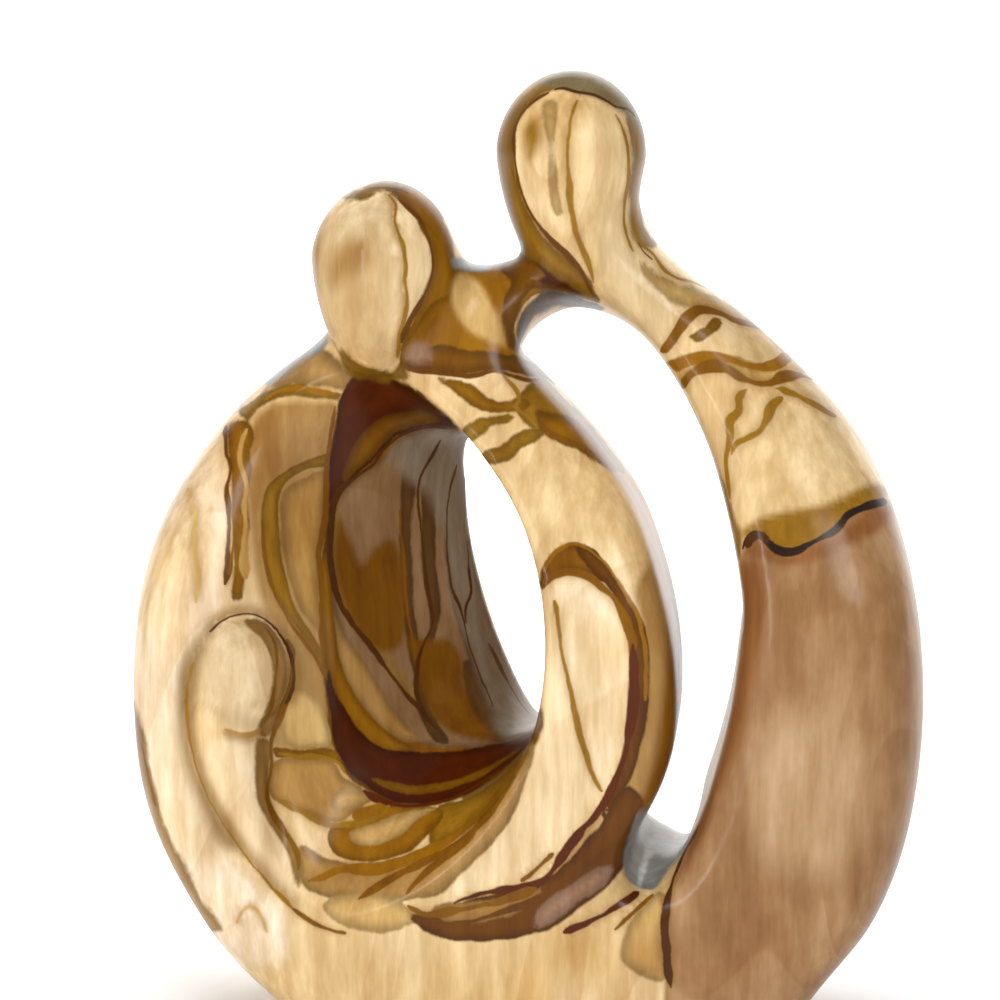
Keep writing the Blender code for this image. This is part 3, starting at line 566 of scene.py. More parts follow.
# Soft patches that lie over the others; as marked, some are painted shade, highlights and reflections
SHADES = {
    # A painted grey reflection on the hollow's far wall
    "wall_painted_reflection": Patch(REFLECTED_SLATE, 8, [
        (392, 452), (425, 432), (456, 434), (470, 446), (466, 520), (472, 560), (484, 604), (500, 645),
        (520, 684), (540, 712), (528, 734), (505, 738), (488, 700), (470, 650), (452, 600), (444, 540),
        (424, 490), (404, 476)]),
    "wall_gold": Patch(BRONZE, 5, [
        (340, 520), (352, 545), (362, 565), (374, 548), (392, 540), (402, 560), (405, 600), (401, 645),
        (386, 652), (370, 645), (354, 625), (342, 600), (335, 565)]),
    "wall_low_gold": Patch(BRONZE, 4, [
        (408, 640), (418, 670), (424, 700), (440, 725), (470, 738), (500, 740), (480, 720), (466, 690),
        (462, 660), (448, 640), (430, 640)]),
    "mother_cheek": Patch(CLAY, 13, [
        (328, 262), (344, 246), (364, 242), (372, 256), (364, 270), (346, 278), (334, 290), (327, 280)]),
    # Painted shade along the left edge of the mother's head
    "mother_edge_painted_shade": Patch(CLAY, 6, [
        (300, 230), (326, 210), (322, 240), (319, 280), (326, 315), (336, 345), (320, 330), (304, 290)]),
    # A painted highlight on the mother's neck and shoulder
    "neck_painted_highlight": Patch(HONEY, 4, [
        (459, 274), (476, 280), (489, 300), (501, 325), (504, 346), (490, 341), (470, 331), (456, 312),
        (452, 290)]),
    # A painted highlight on the mother's arm
    "arm_painted_highlight": Patch(MAUVE, 5, [(404, 356), (414, 342), (428, 346), (430, 358), (416, 362)]),
    "ring_right_edge": Patch(BROWN, 7, [
        (668, 540), (690, 620), (690, 700), (676, 760), (650, 806), (640, 812), (650, 770), (662, 700),
        (668, 640)]),
    # The father's crown: darker wood with a painted grey sheen
    "father_crown": Patch(GREY, 4, [
        (535, 84), (570, 68), (605, 74), (632, 94), (648, 124), (648, 156), (638, 135), (625, 115),
        (605, 102), (580, 93), (558, 88)]),
    "father_temple": Patch(OLIVE, 8, [
        (525, 128), (535, 120), (541, 136), (536, 152), (529, 160), (526, 146)]),
    "back_low": Patch(OLIVE, 5, [
        (738, 536), (752, 522), (772, 514), (800, 509), (830, 503), (870, 484), (900, 490), (849, 517),
        (836, 532), (808, 546), (792, 553), (776, 550), (757, 537)]),
    "child_shade": Patch(SHADE, 9, [
        (180, 668), (198, 640), (214, 626), (204, 652), (194, 682), (190, 722), (196, 762), (216, 804),
        (240, 850), (222, 846), (200, 806), (184, 760), (178, 710)]),
    "heart_low": Patch(HEART_LIGHT, 26, [
        (776, 730), (810, 712), (846, 730), (868, 770), (866, 820), (846, 862), (812, 876), (776, 862),
        (752, 826), (754, 776)]),
    "heart_edge": Patch(MAHOGANY, 8, [
        (741, 566), (756, 560), (764, 600), (760, 650), (750, 700), (734, 752), (716, 800), (700, 846),
        (684, 870), (690, 840), (708, 790), (726, 730), (738, 660), (742, 610)]),
    "heart_top": Patch(MAHOGANY, 6, [
        (744, 552), (757, 538), (776, 551), (792, 554), (808, 547), (836, 534), (870, 508), (900, 502),
        (880, 530), (850, 545), (820, 560), (790, 566), (764, 560)]),
}

# The father's body below its dark edge is even-grained heartwood: its outline in pixels
HEARTWOOD = [
    (741, 556), (757, 536), (776, 549), (792, 552), (808, 545), (836, 531), (849, 515), (900, 500),
    (980, 560), (980, 1100), (680, 1100), (666, 960), (665, 928), (669, 894), (679, 864), (696, 832),
    (716, 780), (734, 700), (742, 640), (744, 600),
]

# What is kept for each vertex, by how many numbers it has
KEPT_KINDS = {1: ("FLOAT", "value"), 3: ("FLOAT_VECTOR", "vector"), 4: ("FLOAT_COLOR", "color")}

# A growth line reaches this far past its edge and keeps this clear of the others on its layer.
# It isn't drawn where it jumps across a gap, and it thins out over the taper, a share of its length
LINE_REACH, CLEAR_OF_LINE = 0.0026, 0.0015
JUMP = 0.006
LINE_TAPER = 0.10
FAR = 5.0

# How soft and ragged its edges are, and how its width swells and shrinks
LINE_SOFT, LINE_RAGGED = 0.00024, 0.0009
LINE_SWELL = (0.35, 0.65, 0.5, 1.25)

# The brown beside it: on one side over its fade, or else on both as shares of half its width
FADE_STRENGTH, FADE_RUN, FADE_START = 0.7, (0.3, 2.0), -0.25
HALO, HALO_STRENGTH, HALO_CORE = 2.8, 0.42, 0.2

# How far round a patch its layer is kept free, in pixels, and how far past its edge it shows
PATCH_REACH, PATCH_BESIDE, PATCH_OVERLAP = 40.0, 6.5, 2.2

# How ragged and soft a patch's edge is and how dark its rim, in widths of the edge
PATCH_RAGGED, PATCH_EDGE = 4.4, 0.7
PATCH_RIM, PATCH_MIDDLE, PATCH_RIM_WIDTH = 0.58, 1.06, 4.5

# The heartwood's edge and dark border, in pixels, and where the front gives way to the hidden sides
HEART_EDGE = 3.0
HEART_BORDER = (3.0, 8.0, 1.0, 0.0)
HEART_BLOTCHES = (0.38, 0.66)
FACING = (-0.12, 0.12)

# Noise in the wood, and how much it is stretched across, in depth and along the grain
Noise = namedtuple("Noise", "scale detail roughness stretch")
NOISES = {
    "warm_places": Noise(22.0, 2.0, 0.5, (1.0, 1.0, 1.0)),
    "pale_places": Noise(31.0, 1.0, 0.5, (1.0, 1.0, 1.0)),
    "heart_blotches": Noise(45.0, 4.0, 0.6, (1.0, 1.0, 0.6)),
    "layer_bend": Noise(15.0, 1.5, 0.5, (1.0, 1.0, 0.35)),
    "layer_ripple": Noise(60.0, 2.0, 0.5, (1.0, 1.0, 0.35)),
    "faint_lines": Noise(16.0, 1.5, 0.4, (1.0, 1.0, 0.30)),
    "faint_places": Noise(25.0, 2.0, 0.5, (1.0, 1.0, 1.0)),
    "patch_edges": Noise(150.0, 4.0, 0.65, (1.0, 1.0, 0.45)),
    "line_edges": Noise(260.0, 3.0, 0.5, (1.0, 1.0, 1.0)),
    "line_swell": Noise(85.0, 1.0, 0.5, (1.0, 1.0, 1.0)),
    "fibre": Noise(1.0, 3.0, 0.6, (420.0, 420.0, 34.0)),
    "mottle": Noise(95.0, 4.0, 0.65, (1.0, 1.0, 0.5)),
    "streak": Noise(1.0, 4.0, 0.65, (150.0, 150.0, 22.0)),
}

# How the pale wood is tinted, and the noise between which each tint comes in
WARMER, PALER = (0.86, 0.74, 0.52), (1.08, 1.14, 1.30)
WARM_PLACES, PALE_PLACES = (0.42, 0.72), (0.50, 0.75)

# Faint growth lines: how many levels of noise, how they fade, and their strength
LEVELS = 15.0
LINES_FADE, LINES_START = 0.55, 0.05
LINES_STRENGTH = (0.40, 0.65, 0.10, 0.34)

# Growth layers where no line is drawn: thickness, waviness, slant and the colours through each
LAYER_THICKNESS = 0.0135
LAYER_BEND, LAYER_RIPPLE = 0.075, 0.009
LAYER_TURN = (1.0, 0.55, 0.10)
LAYER_STRENGTH = (0.1, 0.9, 0.30, 1.0)
LAYER_COLOURS = (
    (0.0, UMBER), (0.05, BROWN), (0.16, GOLDEN), (0.36, TAN), (0.55, HONEY), (0.95, CREAM), (1.0, UMBER))

# How noise turns the wood lighter and darker, and the powers of that for red, green and blue
FIBRE_TONE = (0.2, 0.8, 0.91, 1.09)
MOTTLE_TONE = (0.25, 0.75, -0.10, 0.10)
STREAK_TONE = (0.32, 0.68, 0.84, 1.10)
TONE_POWERS = (1.0, 1.35, 1.9)

# The satin varnish, a little duller where it is worn
ROUGHNESS = (0.2, 0.8, 0.34, 0.46)
VARNISH = {
    "Specular IOR Level": 0.15,
    "Specular Tint": (1.0, 0.72, 0.42, 1.0),
    "Coat Weight": 0.28,
    "Coat Roughness": 0.17,
}
BUMP_STRENGTH, BUMP_DEPTH = 0.35, 0.00008

# The studio
FLOOR_COLOUR, FLOOR_ROUGHNESS = (0.93, 0.93, 0.93), 0.9
FLOOR_FRONT, FLOOR_BACK, FLOOR_SIDE = 9.0, 1.2, 9.0
SWEEP, SWEEP_STEPS, BACKDROP_TOP = 0.6, 12, 2.5
MIDDLE = (0.0, 0.0, 0.11)

# A light: its place, the size of its face, its power, whether the varnish mirrors it, and its aim
Lamp = namedtuple("Lamp", "place size power mirrored target")
LIGHTS = {
    "key": Lamp((0.42, -0.80, 0.50), (0.26, 0.36), 3.2, True, MIDDLE),
    "left": Lamp((-0.70, -0.70, 0.16), (0.40, 0.60), 4.4, False, MIDDLE),
    "window": Lamp((-0.42, -0.85, 0.24), (0.05, 0.50), 1.8, True, MIDDLE),
    "top": Lamp((0.0, 0.0, 1.3), (0.9, 0.6), 5.5, False, MIDDLE),
    "backdrop": Lamp((0.0, 0.8, 1.5), (2.4, 0.5), 60.0, False, (0.0, 1.8, 0.75)),
}
ROOM_COLOUR = (1.0, 1.0, 1.0)
ROOM_STRENGTH = 0.26


def ease(value, low, high):
    """0 below low, 1 above high, and a smooth turn between them."""
    t = np.clip((value - low) / (high - low), 0.0, 1.0)
    return t * t * (3.0 - 2.0 * t)


def mix(a, b, t):
    return a + (b - a) * t


def smooth_min(a, b, width):
    """The union of two fields, with a fillet."""
    near = np.maximum(width - np.abs(a - b), 0.0) / width
    return np.minimum(a, b) - near**3 * width / 6.0


def smooth_max(a, b, width):
    """What two fields share, with a rounded edge."""
    return -smooth_min(-a, -b, width)


def curve_piece(before, start, end, after, steps):
    """One piece of a centripetal Catmull-Rom curve, from start to end, drawn as a Bezier piece."""
    a, b, c = (
        np.linalg.norm(end_point - start_point) ** 0.5
        for start_point, end_point in ((before, start), (start, end), (end, after))
    )
    first = (2 * a * a + 3 * a * b + b * b) * start + a * a * end - b * b * before
    second = (2 * c * c + 3 * c * b + b * b) * end + c * c * start - b * b * after
    corners = (start, first / (3 * a * (a + b)), second / (3 * c * (c + b)), end)
    return interpolate_bezier(*(Vector(corner) for corner in corners), steps + 1)[:-1]


def closed_curve(points, steps=8):
    """A smooth closed curve through the points."""
    points = np.asarray(points)
    curve = []
    for index in range(len(points)):
        around = (points[(index + k) % len(points)] for k in (-1, 0, 1, 2))
        curve += curve_piece(*around, steps)
    return np.array(curve)


def open_curve(points, steps=6):
    """A smooth curve through the points, from the first to the last."""
    points = np.asarray(points, float)
    ends = 2.0 * points[0] - points[1], 2.0 * points[-1] - points[-2]
    chain = np.vstack((ends[0], points, ends[1]))
    curve = []
    for around in zip(chain, chain[1:], chain[2:], chain[3:]):
        curve += curve_piece(*around, steps)
    return np.array(curve + [Vector(points[-1])])


class Grid:
    """The cells that the field is worked out in: metres, x first, then depth, then height."""

    def __init__(self):
        side, depth = SIDE_REACH * HEIGHT, DEPTH_REACH * THICKNESS
        self.low = np.array((-side, -depth, LOWEST * HEIGHT))
        high = np.array((side, depth, HIGHEST * HEIGHT))
        axes = [np.arange(low, top, CELL) for low, top in zip(self.low, high)]
        self.x = axes[0][:, None, None]
        self.y = axes[1][None, :, None]
        self.z = axes[2][None, None, :]

    def outline(self, points):
        """Signed distance to a closed outline in the front view."""
        curve = closed_curve(np.asarray(points) * HEIGHT)
        nearest = np.full(np.broadcast_shapes(self.x.shape, self.z.shape), np.inf)
        inside = np.zeros(nearest.shape, bool)
        for start, end in zip(curve, np.roll(curve, -1, axis=0)):
            run, rise = end - start
            across, up = self.x - start[0], self.z - start[1]
            t = np.clip((across * run + up * rise) / (run * run + rise * rise), 0.0, 1.0)
            nearest = np.minimum(nearest, np.hypot(across - t * run, up - t * rise))
            if rise:
                crosses = (start[1] > self.z) != (end[1] > self.z)
                inside ^= crosses & (self.x < start[0] + run * up / rise)
        return np.where(inside, -nearest, nearest)

    def soft_outline(self, points):
        """An outline's field, blurred so that it has no crease down the middle of the shape."""
        field = self.outline(points)
        spread = HOLLOW_SOFTNESS * HEIGHT / CELL
        steps = np.arange(-int(3 * spread), int(3 * spread) + 1)
        weights = np.exp(-0.5 * (steps / spread) ** 2)
        weights /= weights.sum()
        for axis in (0, 2):
            field = sum(w * np.roll(field, step, axis) for w, step in zip(weights, steps))
        return field

    def egg(self, head):
        """A head: an egg with its narrow end down."""
        x, y, z = place(head.middle)
        x, y, z = self.x - x, self.y - y, self.z - z
        lean, nod = np.radians((head.lean, head.nod))
        x, z = x * np.cos(lean) - z * np.sin(lean), x * np.sin(lean) + z * np.cos(lean)
        y, z = y * np.cos(nod) - z * np.sin(nod), y * np.sin(nod) + z * np.cos(nod)
        up = np.where(z > 0.0, head.above, head.below) * HEIGHT
        narrowing = 1.0 + head.taper * np.clip(z / up, -1.0, 0.0)
        wide = head.half_width * HEIGHT * narrowing
        deep = head.half_depth * THICKNESS * narrowing
        scaled = np.sqrt((x / wide) ** 2 + (y / deep) ** 2 + (z / up) ** 2)
        slope = np.sqrt((x / wide**2) ** 2 + (y / deep**2) ** 2 + (z / up**2) ** 2)
        return scaled * (scaled - 1.0) / np.maximum(slope, 1e-6)

    def sausage(self, points, depth):
        """Round balls of changing size, joined in a row."""
        y = self.y - depth * THICKNESS
        field = np.inf
        for start, end in zip(points, points[1:]):
            x, z, radius = np.array(start) * HEIGHT
            run, rise, growth = np.array(end) * HEIGHT - (x, z, radius)
            across, up = self.x - x, self.z - z
            t = np.clip((across * run + up * rise) / (run * run + rise * rise), 0.0, 1.0)
            away = np.sqrt((across - t * run) ** 2 + y**2 + (up - t * rise) ** 2)
            field = np.minimum(field, away - radius - t * growth)
        return field


def place(point):
    """A point (x, depth, z) in shares, in metres."""
    return point[0] * HEIGHT, point[1] * THICKNESS, point[2] * HEIGHT


def heights(span):
    return span[0] * HEIGHT, span[1] * HEIGHT


def block(grid, front):
    """The oval block, thinner at the heads, with its front and back edges rounded."""
    back = mix(LOWER_BACK, UPPER_BACK, ease(grid.z, *heights(BACK_RECEDES))) * THICKNESS
    wood = smooth_max(grid.outline(SILHOUETTE), front - grid.y, FRONT_ROUNDING * HEIGHT)
    return smooth_max(wood, grid.y - back, BACK_ROUNDING * HEIGHT)


def crescent_gap(grid):
    """The gap between the bodies, whose ends slope from the front to the back."""
    front = grid.outline(GAP_RIGHT_SIDE + GAP_FRONT_FOOT + GAP_LEFT_SIDE + GAP_FRONT_HEAD)
    back = grid.outline(GAP_RIGHT_SIDE + GAP_BACK_FOOT + GAP_LEFT_SIDE + GAP_BACK_HEAD)
    turns = ease(grid.y, GAP_TURNS[0] * THICKNESS, GAP_TURNS[1] * THICKNESS)
    return mix(front, back, turns)


def lap_hollow(grid, front):
    """The funnel: wide at the front, steeper behind the ridge, and slim at the back."""
    ridge_depth = RIDGE_DEPTH * THICKNESS
    way_out_depth = WAY_OUT_DEPTH * THICKNESS
    ridge = grid.soft_outline(RIDGE)
    to_ridge = np.clip((grid.y - front) / ridge_depth, 0.0, 1.0)
    past_ridge = grid.y - front - ridge_depth
    to_way_out = np.clip(past_ridge / (way_out_depth - front - ridge_depth), 0.0, 1.0)
    bowl = mix(grid.soft_outline(MOUTH), ridge, to_ridge)
    return mix(bowl, grid.outline(WAY_OUT), to_way_out)


def add_child(grid, wood):
    """The swaddled child in relief, with a groove round it."""
    head = grid.egg(CHILD_HEAD)
    body = grid.sausage(WRAPPED_BODY, WRAPPED_BODY_DEPTH)
    child = smooth_min(head, body, CHILD_ROUNDING * HEIGHT)
    groove = CHILD_GROOVE * HEIGHT * np.exp(-((child / (CHILD_GROOVE_WIDTH * HEIGHT)) ** 2))
    return smooth_min(wood + groove, child, CHILD_ROUNDING * HEIGHT)


def carving(grid):
    """The whole form as one field."""
    front = mix(LOWER_FRONT, UPPER_FRONT, ease(grid.z, *heights(FRONT_RECEDES))) * THICKNESS
    wood = smooth_max(block(grid, front), -crescent_gap(grid), GAP_ROUNDING * HEIGHT)
    sharpens = ease(grid.x, *heights(RIM_SHARPENS))
    rim_rounding = mix(LEFT_RIM_ROUNDING, RIGHT_RIM_ROUNDING, sharpens) * HEIGHT
    wood = smooth_max(wood, -lap_hollow(grid, front), rim_rounding)
    nape = ease(grid.x, *heights(MOTHER_NAPE))
    chin_rounding = mix(MOTHER_CHIN_ROUNDING, MOTHER_NAPE_ROUNDING, nape) * HEIGHT
    wood = smooth_min(wood, grid.egg(MOTHER_HEAD), chin_rounding)
    wood = smooth_min(wood, grid.egg(FATHER_HEAD), FATHER_NECK_ROUNDING * HEIGHT)
    wood = add_child(grid, wood)
    return smooth_max(wood, -grid.z - BASE_TRIM * HEIGHT, BASE_ROUNDING * HEIGHT)


def surface_of(grid, field):
    """A closed mesh of four-sided faces where the field is zero."""
    volume = openvdb.FloatGrid(float(HEIGHT))
    volume.copyFromArray(np.ascontiguousarray(field, np.float32))
    points, faces = volume.convertToQuads(isovalue=0.0)
    mesh = bpy.data.meshes.new("holy_family_wood")
    mesh.from_pydata((points * CELL + grid.low).tolist(), [], faces.tolist())
    mesh.shade_smooth()
    return mesh


class PhotoView:
    """Where the photograph's pixels lie on the carved surface."""

    def __init__(self, mesh):
        self.eye = np.array(CAMERA_PLACE)
        self.forward = np.array(CAMERA_AIM) - self.eye
        self.forward /= np.linalg.norm(self.forward)
        self.right = np.cross(self.forward, (0.0, 0.0, 1.0))
        self.right /= np.linalg.norm(self.right)
        self.up = np.cross(self.right, self.forward)
        self.focal = LENS / SENSOR * PHOTO_PIXELS
        self.points = values_of(mesh.vertices, "co", 3)
        self.normals = values_of(mesh.vertices, "normal", 3)
        polygons = [tuple(polygon.vertices) for polygon in mesh.polygons]
        self.tree = BVHTree.FromPolygons(self.points.tolist(), polygons)
        away = self.points - self.eye
        depth = away @ self.forward
        self.across = PHOTO_PIXELS / 2 + self.focal * (away @ self.right) / depth
        self.down = PHOTO_PIXELS / 2 - self.focal * (away @ self.up) / depth

    def laid(self, pixels):
        """The surface points and normals under a line of pixels, leaving out what misses the wood."""
        found = []
        for column, row in open_curve(pixels):
            across = (column - PHOTO_PIXELS / 2) / self.focal
            down = (row - PHOTO_PIXELS / 2) / self.focal
            way = self.forward + across * self.right - down * self.up
            point, normal, _, _ = self.tree.ray_cast(Vector(self.eye), Vector(way))
            if point is not None:
                found.append((*point, *normal))
        found = np.array(found)
        return found[:, :3], found[:, 3:]

    def measured_from(self, pixels, reach):
        """For vertices within reach of a line: their numbers, signed distance and place along it.

        The distance is above zero to the right of the line's way. Stretches where the line jumps
        from one part of the wood to another are left out.
        """
        line, outward = self.laid(pixels)
        starts, steps = line[:-1], np.diff(line, axis=0)
        lengths = np.linalg.norm(steps, axis=1)
        whole = (lengths < JUMP) & (lengths > 1e-7)
        starts, steps, lengths, outward = starts[whole], steps[whole], lengths[whole], outward[:-1][whole]
        low, high = line.min(axis=0) - reach, line.max(axis=0) + reach
        near = np.flatnonzero(((self.points > low) & (self.points < high)).all(axis=1))
        away = self.points[near, None, :] - starts[None, :, :]
        along = np.clip((away * steps).sum(axis=2) / lengths**2, 0.0, 1.0)
        off = away - along[:, :, None] * steps[None, :, :]
        distance = np.linalg.norm(off, axis=2)
        best = distance.argmin(axis=1)
        rows = np.arange(len(near))
        distance, off, along = distance[rows, best], off[rows, best], along[rows, best]
        leftward = np.cross(outward, steps)[best]
        signed = np.where((leftward * off).sum(axis=1) > 0.0, -distance, distance)
        ends = np.cumsum(lengths)
        place = (ends[best] - lengths[best] * (1.0 - along)) / ends[-1]
        close = distance < reach
        return near[close], signed[close], place[close]


def values_of(collection, name, width):
    """One kind of value of all the mesh's vertices, a row for each."""
    values = np.empty(len(collection) * width)
    collection.foreach_get(name, values)
    return values.reshape(-1, width)


def keep_on(mesh, name, values):
    """Stores a number, a vector, or a colour with a number, for each vertex."""
    kind, field = KEPT_KINDS[values.size // len(values)]
    attribute = mesh.attributes.new(name, kind, "POINT")
    attribute.data.foreach_set(field, values.ravel())


class Figure:
    """The wood's figure where the photograph shows it, with some painted shade, highlights and
    reflections, kept on the vertices.
    """

    def __init__(self, mesh):
        self.view = PhotoView(mesh)
        self.count = len(mesh.vertices)
        self.ground = np.tile(CREAM, (self.count, 1))
        self.shade = np.zeros((self.count, 3))
        self.cover = np.zeros(self.count)
        self.fade = np.zeros(self.count)
        self.patches = []
        self.veins = []

    def lay_ground(self, patch):
        """Colours the plain wood that lies under the patches."""
        amount = ease(signed_pixels(self.view, patch.points), -patch.edge, patch.edge)
        self.ground = mix(self.ground, np.array(patch.colour), amount[:, None])

    def lay_patch(self, patch):
        """Puts a patch on the first layer that is over all it covers and empty around it."""
        inside = signed_pixels(self.view, patch.points) / patch.edge
        near = inside > -1.0 - PATCH_BESIDE / patch.edge
        seen = inside > -PATCH_OVERLAP
        level = 0
        for number, layer in enumerate(self.patches):
            if (layer["inside"][seen] > -PATCH_OVERLAP).any():
                level = number + 1
        while level < len(self.patches) and (self.patches[level]["inside"][near] > -PATCH_REACH).any():
            level += 1
        if level == len(self.patches):
            self.patches.append({
                "inside": np.full(self.count, -PATCH_REACH),
                "colour": np.zeros((self.count, 3)),
            })
        layer = self.patches[level]
        rim = mix(PATCH_RIM, PATCH_MIDDLE, ease(inside[near], 0.0, PATCH_RIM_WIDTH))
        layer["inside"][near] = inside[near]
        layer["colour"][near] = rim[:, None] * np.array(patch.colour)

    def lay_shade(self, chosen, colour, amount):
        """Shades what is there. The colour is kept multiplied by how much it covers."""
        self.shade[chosen] = mix(self.shade[chosen], np.array(colour), amount[:, None])
        self.cover[chosen] = mix(self.cover[chosen], 1.0, amount)

    def shade_patch(self, patch):
        """Lays a soft patch over the others."""
        inside = signed_pixels(self.view, patch.points)
        chosen = np.flatnonzero(inside > -patch.edge)
        self.lay_shade(chosen, patch.colour, ease(inside[chosen], -patch.edge, patch.edge))

    def shade_beside(self, vein):
        """The brown that fades away on one side of a growth line, or a little on both."""
        if vein.fade:
            fade = abs(vein.fade) * PIXEL
            start, end = FADE_RUN[0] * fade, FADE_RUN[1] * fade
            chosen, signed, place = self.view.measured_from(vein.points, end)
            signed = signed * np.sign(vein.fade)
            amount = FADE_STRENGTH * (1.0 - ease(signed, start, end))
            amount *= ease(signed, FADE_START * fade, 0.0)
        else:
            halo = HALO * vein.width * PIXEL
            chosen, signed, place = self.view.measured_from(vein.points, halo)
            amount = HALO_STRENGTH * (1.0 - ease(np.abs(signed), HALO_CORE * halo, halo))
        self.fade[chosen] = np.maximum(self.fade[chosen], amount * tapered(place))

    def layer_for(self, around):
        """The first layer with nothing near this line, so that no two lines mix."""
        for layer in self.veins:
            if not (layer["width"][around] > 0.0).any():
                return layer
        self.veins.append({
            "offset": np.full(self.count, FAR),
            "width": np.zeros(self.count),
            "colour": np.zeros((self.count, 3)),
        })
        return self.veins[-1]

    def draw(self, vein):
        """Puts a growth line on its layer: the distance to it, its half width and its colour."""
        half_width = vein.width * PIXEL
        reach = half_width + LINE_REACH
        around, signed, place = self.view.measured_from(vein.points, reach + CLEAR_OF_LINE)
        layer = self.layer_for(around)
        near = np.abs(signed) < reach
        layer["offset"][around[near]] = signed[near]
        layer["width"][around[near]] = half_width * tapered(place[near])
        layer["colour"][around[near]] = vein.colour

    def keep(self, mesh):
        keep_on(mesh, "ground", self.ground)
        keep_on(mesh, "shade", self.shade)
        keep_on(mesh, "shade_cover", self.cover)
        keep_on(mesh, "fade", self.fade)
        for number, layer in enumerate(self.patches):
            keep_on(mesh, f"patch_{number}", np.column_stack((layer["colour"], layer["inside"])))
        for number, layer in enumerate(self.veins):
            keep_on(mesh, f"vein_{number}", np.column_stack((layer["colour"], layer["offset"])))
            keep_on(mesh, f"vein_width_{number}", layer["width"])


def tapered(place):
    """How full a line is along its way: it thins out at both ends."""
    return ease(place, 0.0, LINE_TAPER) * (1.0 - ease(place, 1.0 - LINE_TAPER, 1.0))


def signed_pixels(view, points):
    """How many pixels each vertex lies inside a smooth closed outline, below zero outside."""
    across, down = view.across, view.down
    outline = closed_curve(np.array(points, float))
    low, high = outline.min(axis=0) - PATCH_REACH, outline.max(axis=0) + PATCH_REACH
    near = (across > low[0]) & (across < high[0]) & (down > low[1]) & (down < high[1])
    x, y = across[near], down[near]
    nearest = np.full(len(x), np.inf)
    inside = np.zeros(len(x), bool)
    for start, end in zip(outline, np.roll(outline, -1, axis=0)):
        run, drop = end - start
        right, below = x - start[0], y - start[1]
        t = np.clip((right * run + below * drop) / (run * run + drop * drop), 0.0, 1.0)
        nearest = np.minimum(nearest, np.hypot(right - t * run, below - t * drop))
        if drop:
            inside ^= ((start[1] > y) != (end[1] > y)) & (x < start[0] + run * below / drop)
    signed = np.full(len(across), -PATCH_REACH)
    signed[near] = np.where(inside, nearest, -nearest)
    return signed


def add_figure(mesh):
    """Lays the whole figure on the vertices, and says how many layers it takes."""
    figure = Figure(mesh)
    for patch in GROUNDS.values():
        figure.lay_ground(patch)
    for patch in PATCHES.values():
        figure.lay_patch(patch)
    for patch in SHADES.values():
        figure.shade_patch(patch)
    for vein in VEINS.values():
        figure.shade_beside(vein)
        figure.draw(vein)
    figure.keep(mesh)
    view = figure.view
    keep_on(mesh, "heartwood", signed_pixels(view, HEARTWOOD))
    toward = view.eye - view.points
    toward /= np.linalg.norm(toward, axis=1)[:, None]
    keep_on(mesh, "front", ease((toward * view.normals).sum(axis=1), *FACING))
    return len(figure.patches), len(figure.veins)


class Nodes:
    """Short ways to add and link a material's nodes."""

    def __init__(self, material):
        self.tree = material.node_tree

    def add(self, kind, inputs=(), **settings):
        node = self.tree.nodes.new(kind)
        for name, value in settings.items():
            setattr(node, name, value)
        for name, value in dict(inputs).items():
            self.set(node.inputs[name], value)
        return node

    def set(self, socket, value):
        if isinstance(value, bpy.types.NodeSocket):
            self.tree.links.new(value, socket)
        elif isinstance(value, tuple) and len(value) == 3 and socket.type == "RGBA":
            socket.default_value = (*value, 1.0)
        else:
            socket.default_value = value

    def math(self, operation, a, b=0.0):
        return self.add("ShaderNodeMath", {0: a, 1: b}, operation=operation).outputs[0]

    def vector(self, operation, a, b):
        """Vector arithmetic. The second value of a scaling is a number."""
        node = self.add("ShaderNodeVectorMath", {0: a}, operation=operation)
        self.set(node.inputs["Scale" if operation == "SCALE" else 1], b)
        return node.outputs[0]

    def blend(self, amount, a, b, kind="MIX"):
        node = self.add("ShaderNodeMix", data_type="RGBA", blend_type=kind)
        for name, value in (("Factor_Float", amount), ("A_Color", a), ("B_Color", b)):
            self.set(next(s for s in node.inputs if s.identifier == name), value)
        return next(s for s in node.outputs if s.identifier == "Result_Color")

    def smooth(self, value, low, high, to_low=0.0, to_high=1.0):
        """A smooth turn from one value to another as the first goes from low to high."""
        node = self.add(
            "ShaderNodeMapRange",
            {"Value": value, "From Min": low, "From Max": high, "To Min": to_low, "To Max": to_high},
            interpolation_type="SMOOTHSTEP",
        )
        return node.outputs["Result"]

    def noise(self, where, name):
        noise = NOISES[name]
        node = self.add("ShaderNodeTexNoise", {
            "Vector": self.vector("MULTIPLY", where, noise.stretch),
            "Scale": noise.scale,
            "Detail": noise.detail,
            "Roughness": noise.roughness,
        })
        return node.outputs["Fac"]

    def wobble(self, where, name, size):
        """Noise around zero."""
        return self.math("MULTIPLY", self.math("SUBTRACT", self.noise(where, name), 0.5), size)

    def kept(self, name, output="Fac"):
        """A value kept on the vertices."""
        return self.add("ShaderNodeAttribute", attribute_name=name).outputs[output]

    def split(self, vector):
        return self.add("ShaderNodeSeparateXYZ", {"Vector": vector}).outputs


def sapwood(nodes, where, ground):
    """The light wood, a little warmer in places and a little paler in others."""
    warm = nodes.smooth(nodes.noise(where, "warm_places"), *WARM_PLACES)
    pale = nodes.smooth(nodes.noise(where, "pale_places"), *PALE_PLACES)
    tint = nodes.blend(pale, nodes.blend(warm, (1.0, 1.0, 1.0), WARMER), PALER)
    return nodes.blend(1.0, ground, tint, "MULTIPLY")


def heartwood(nodes, where):
    """Even brown wood, mottled."""
    blotch = nodes.smooth(nodes.noise(where, "heart_blotches"), *HEART_BLOTCHES)
    return nodes.blend(blotch, HEART, HEART_PALE)


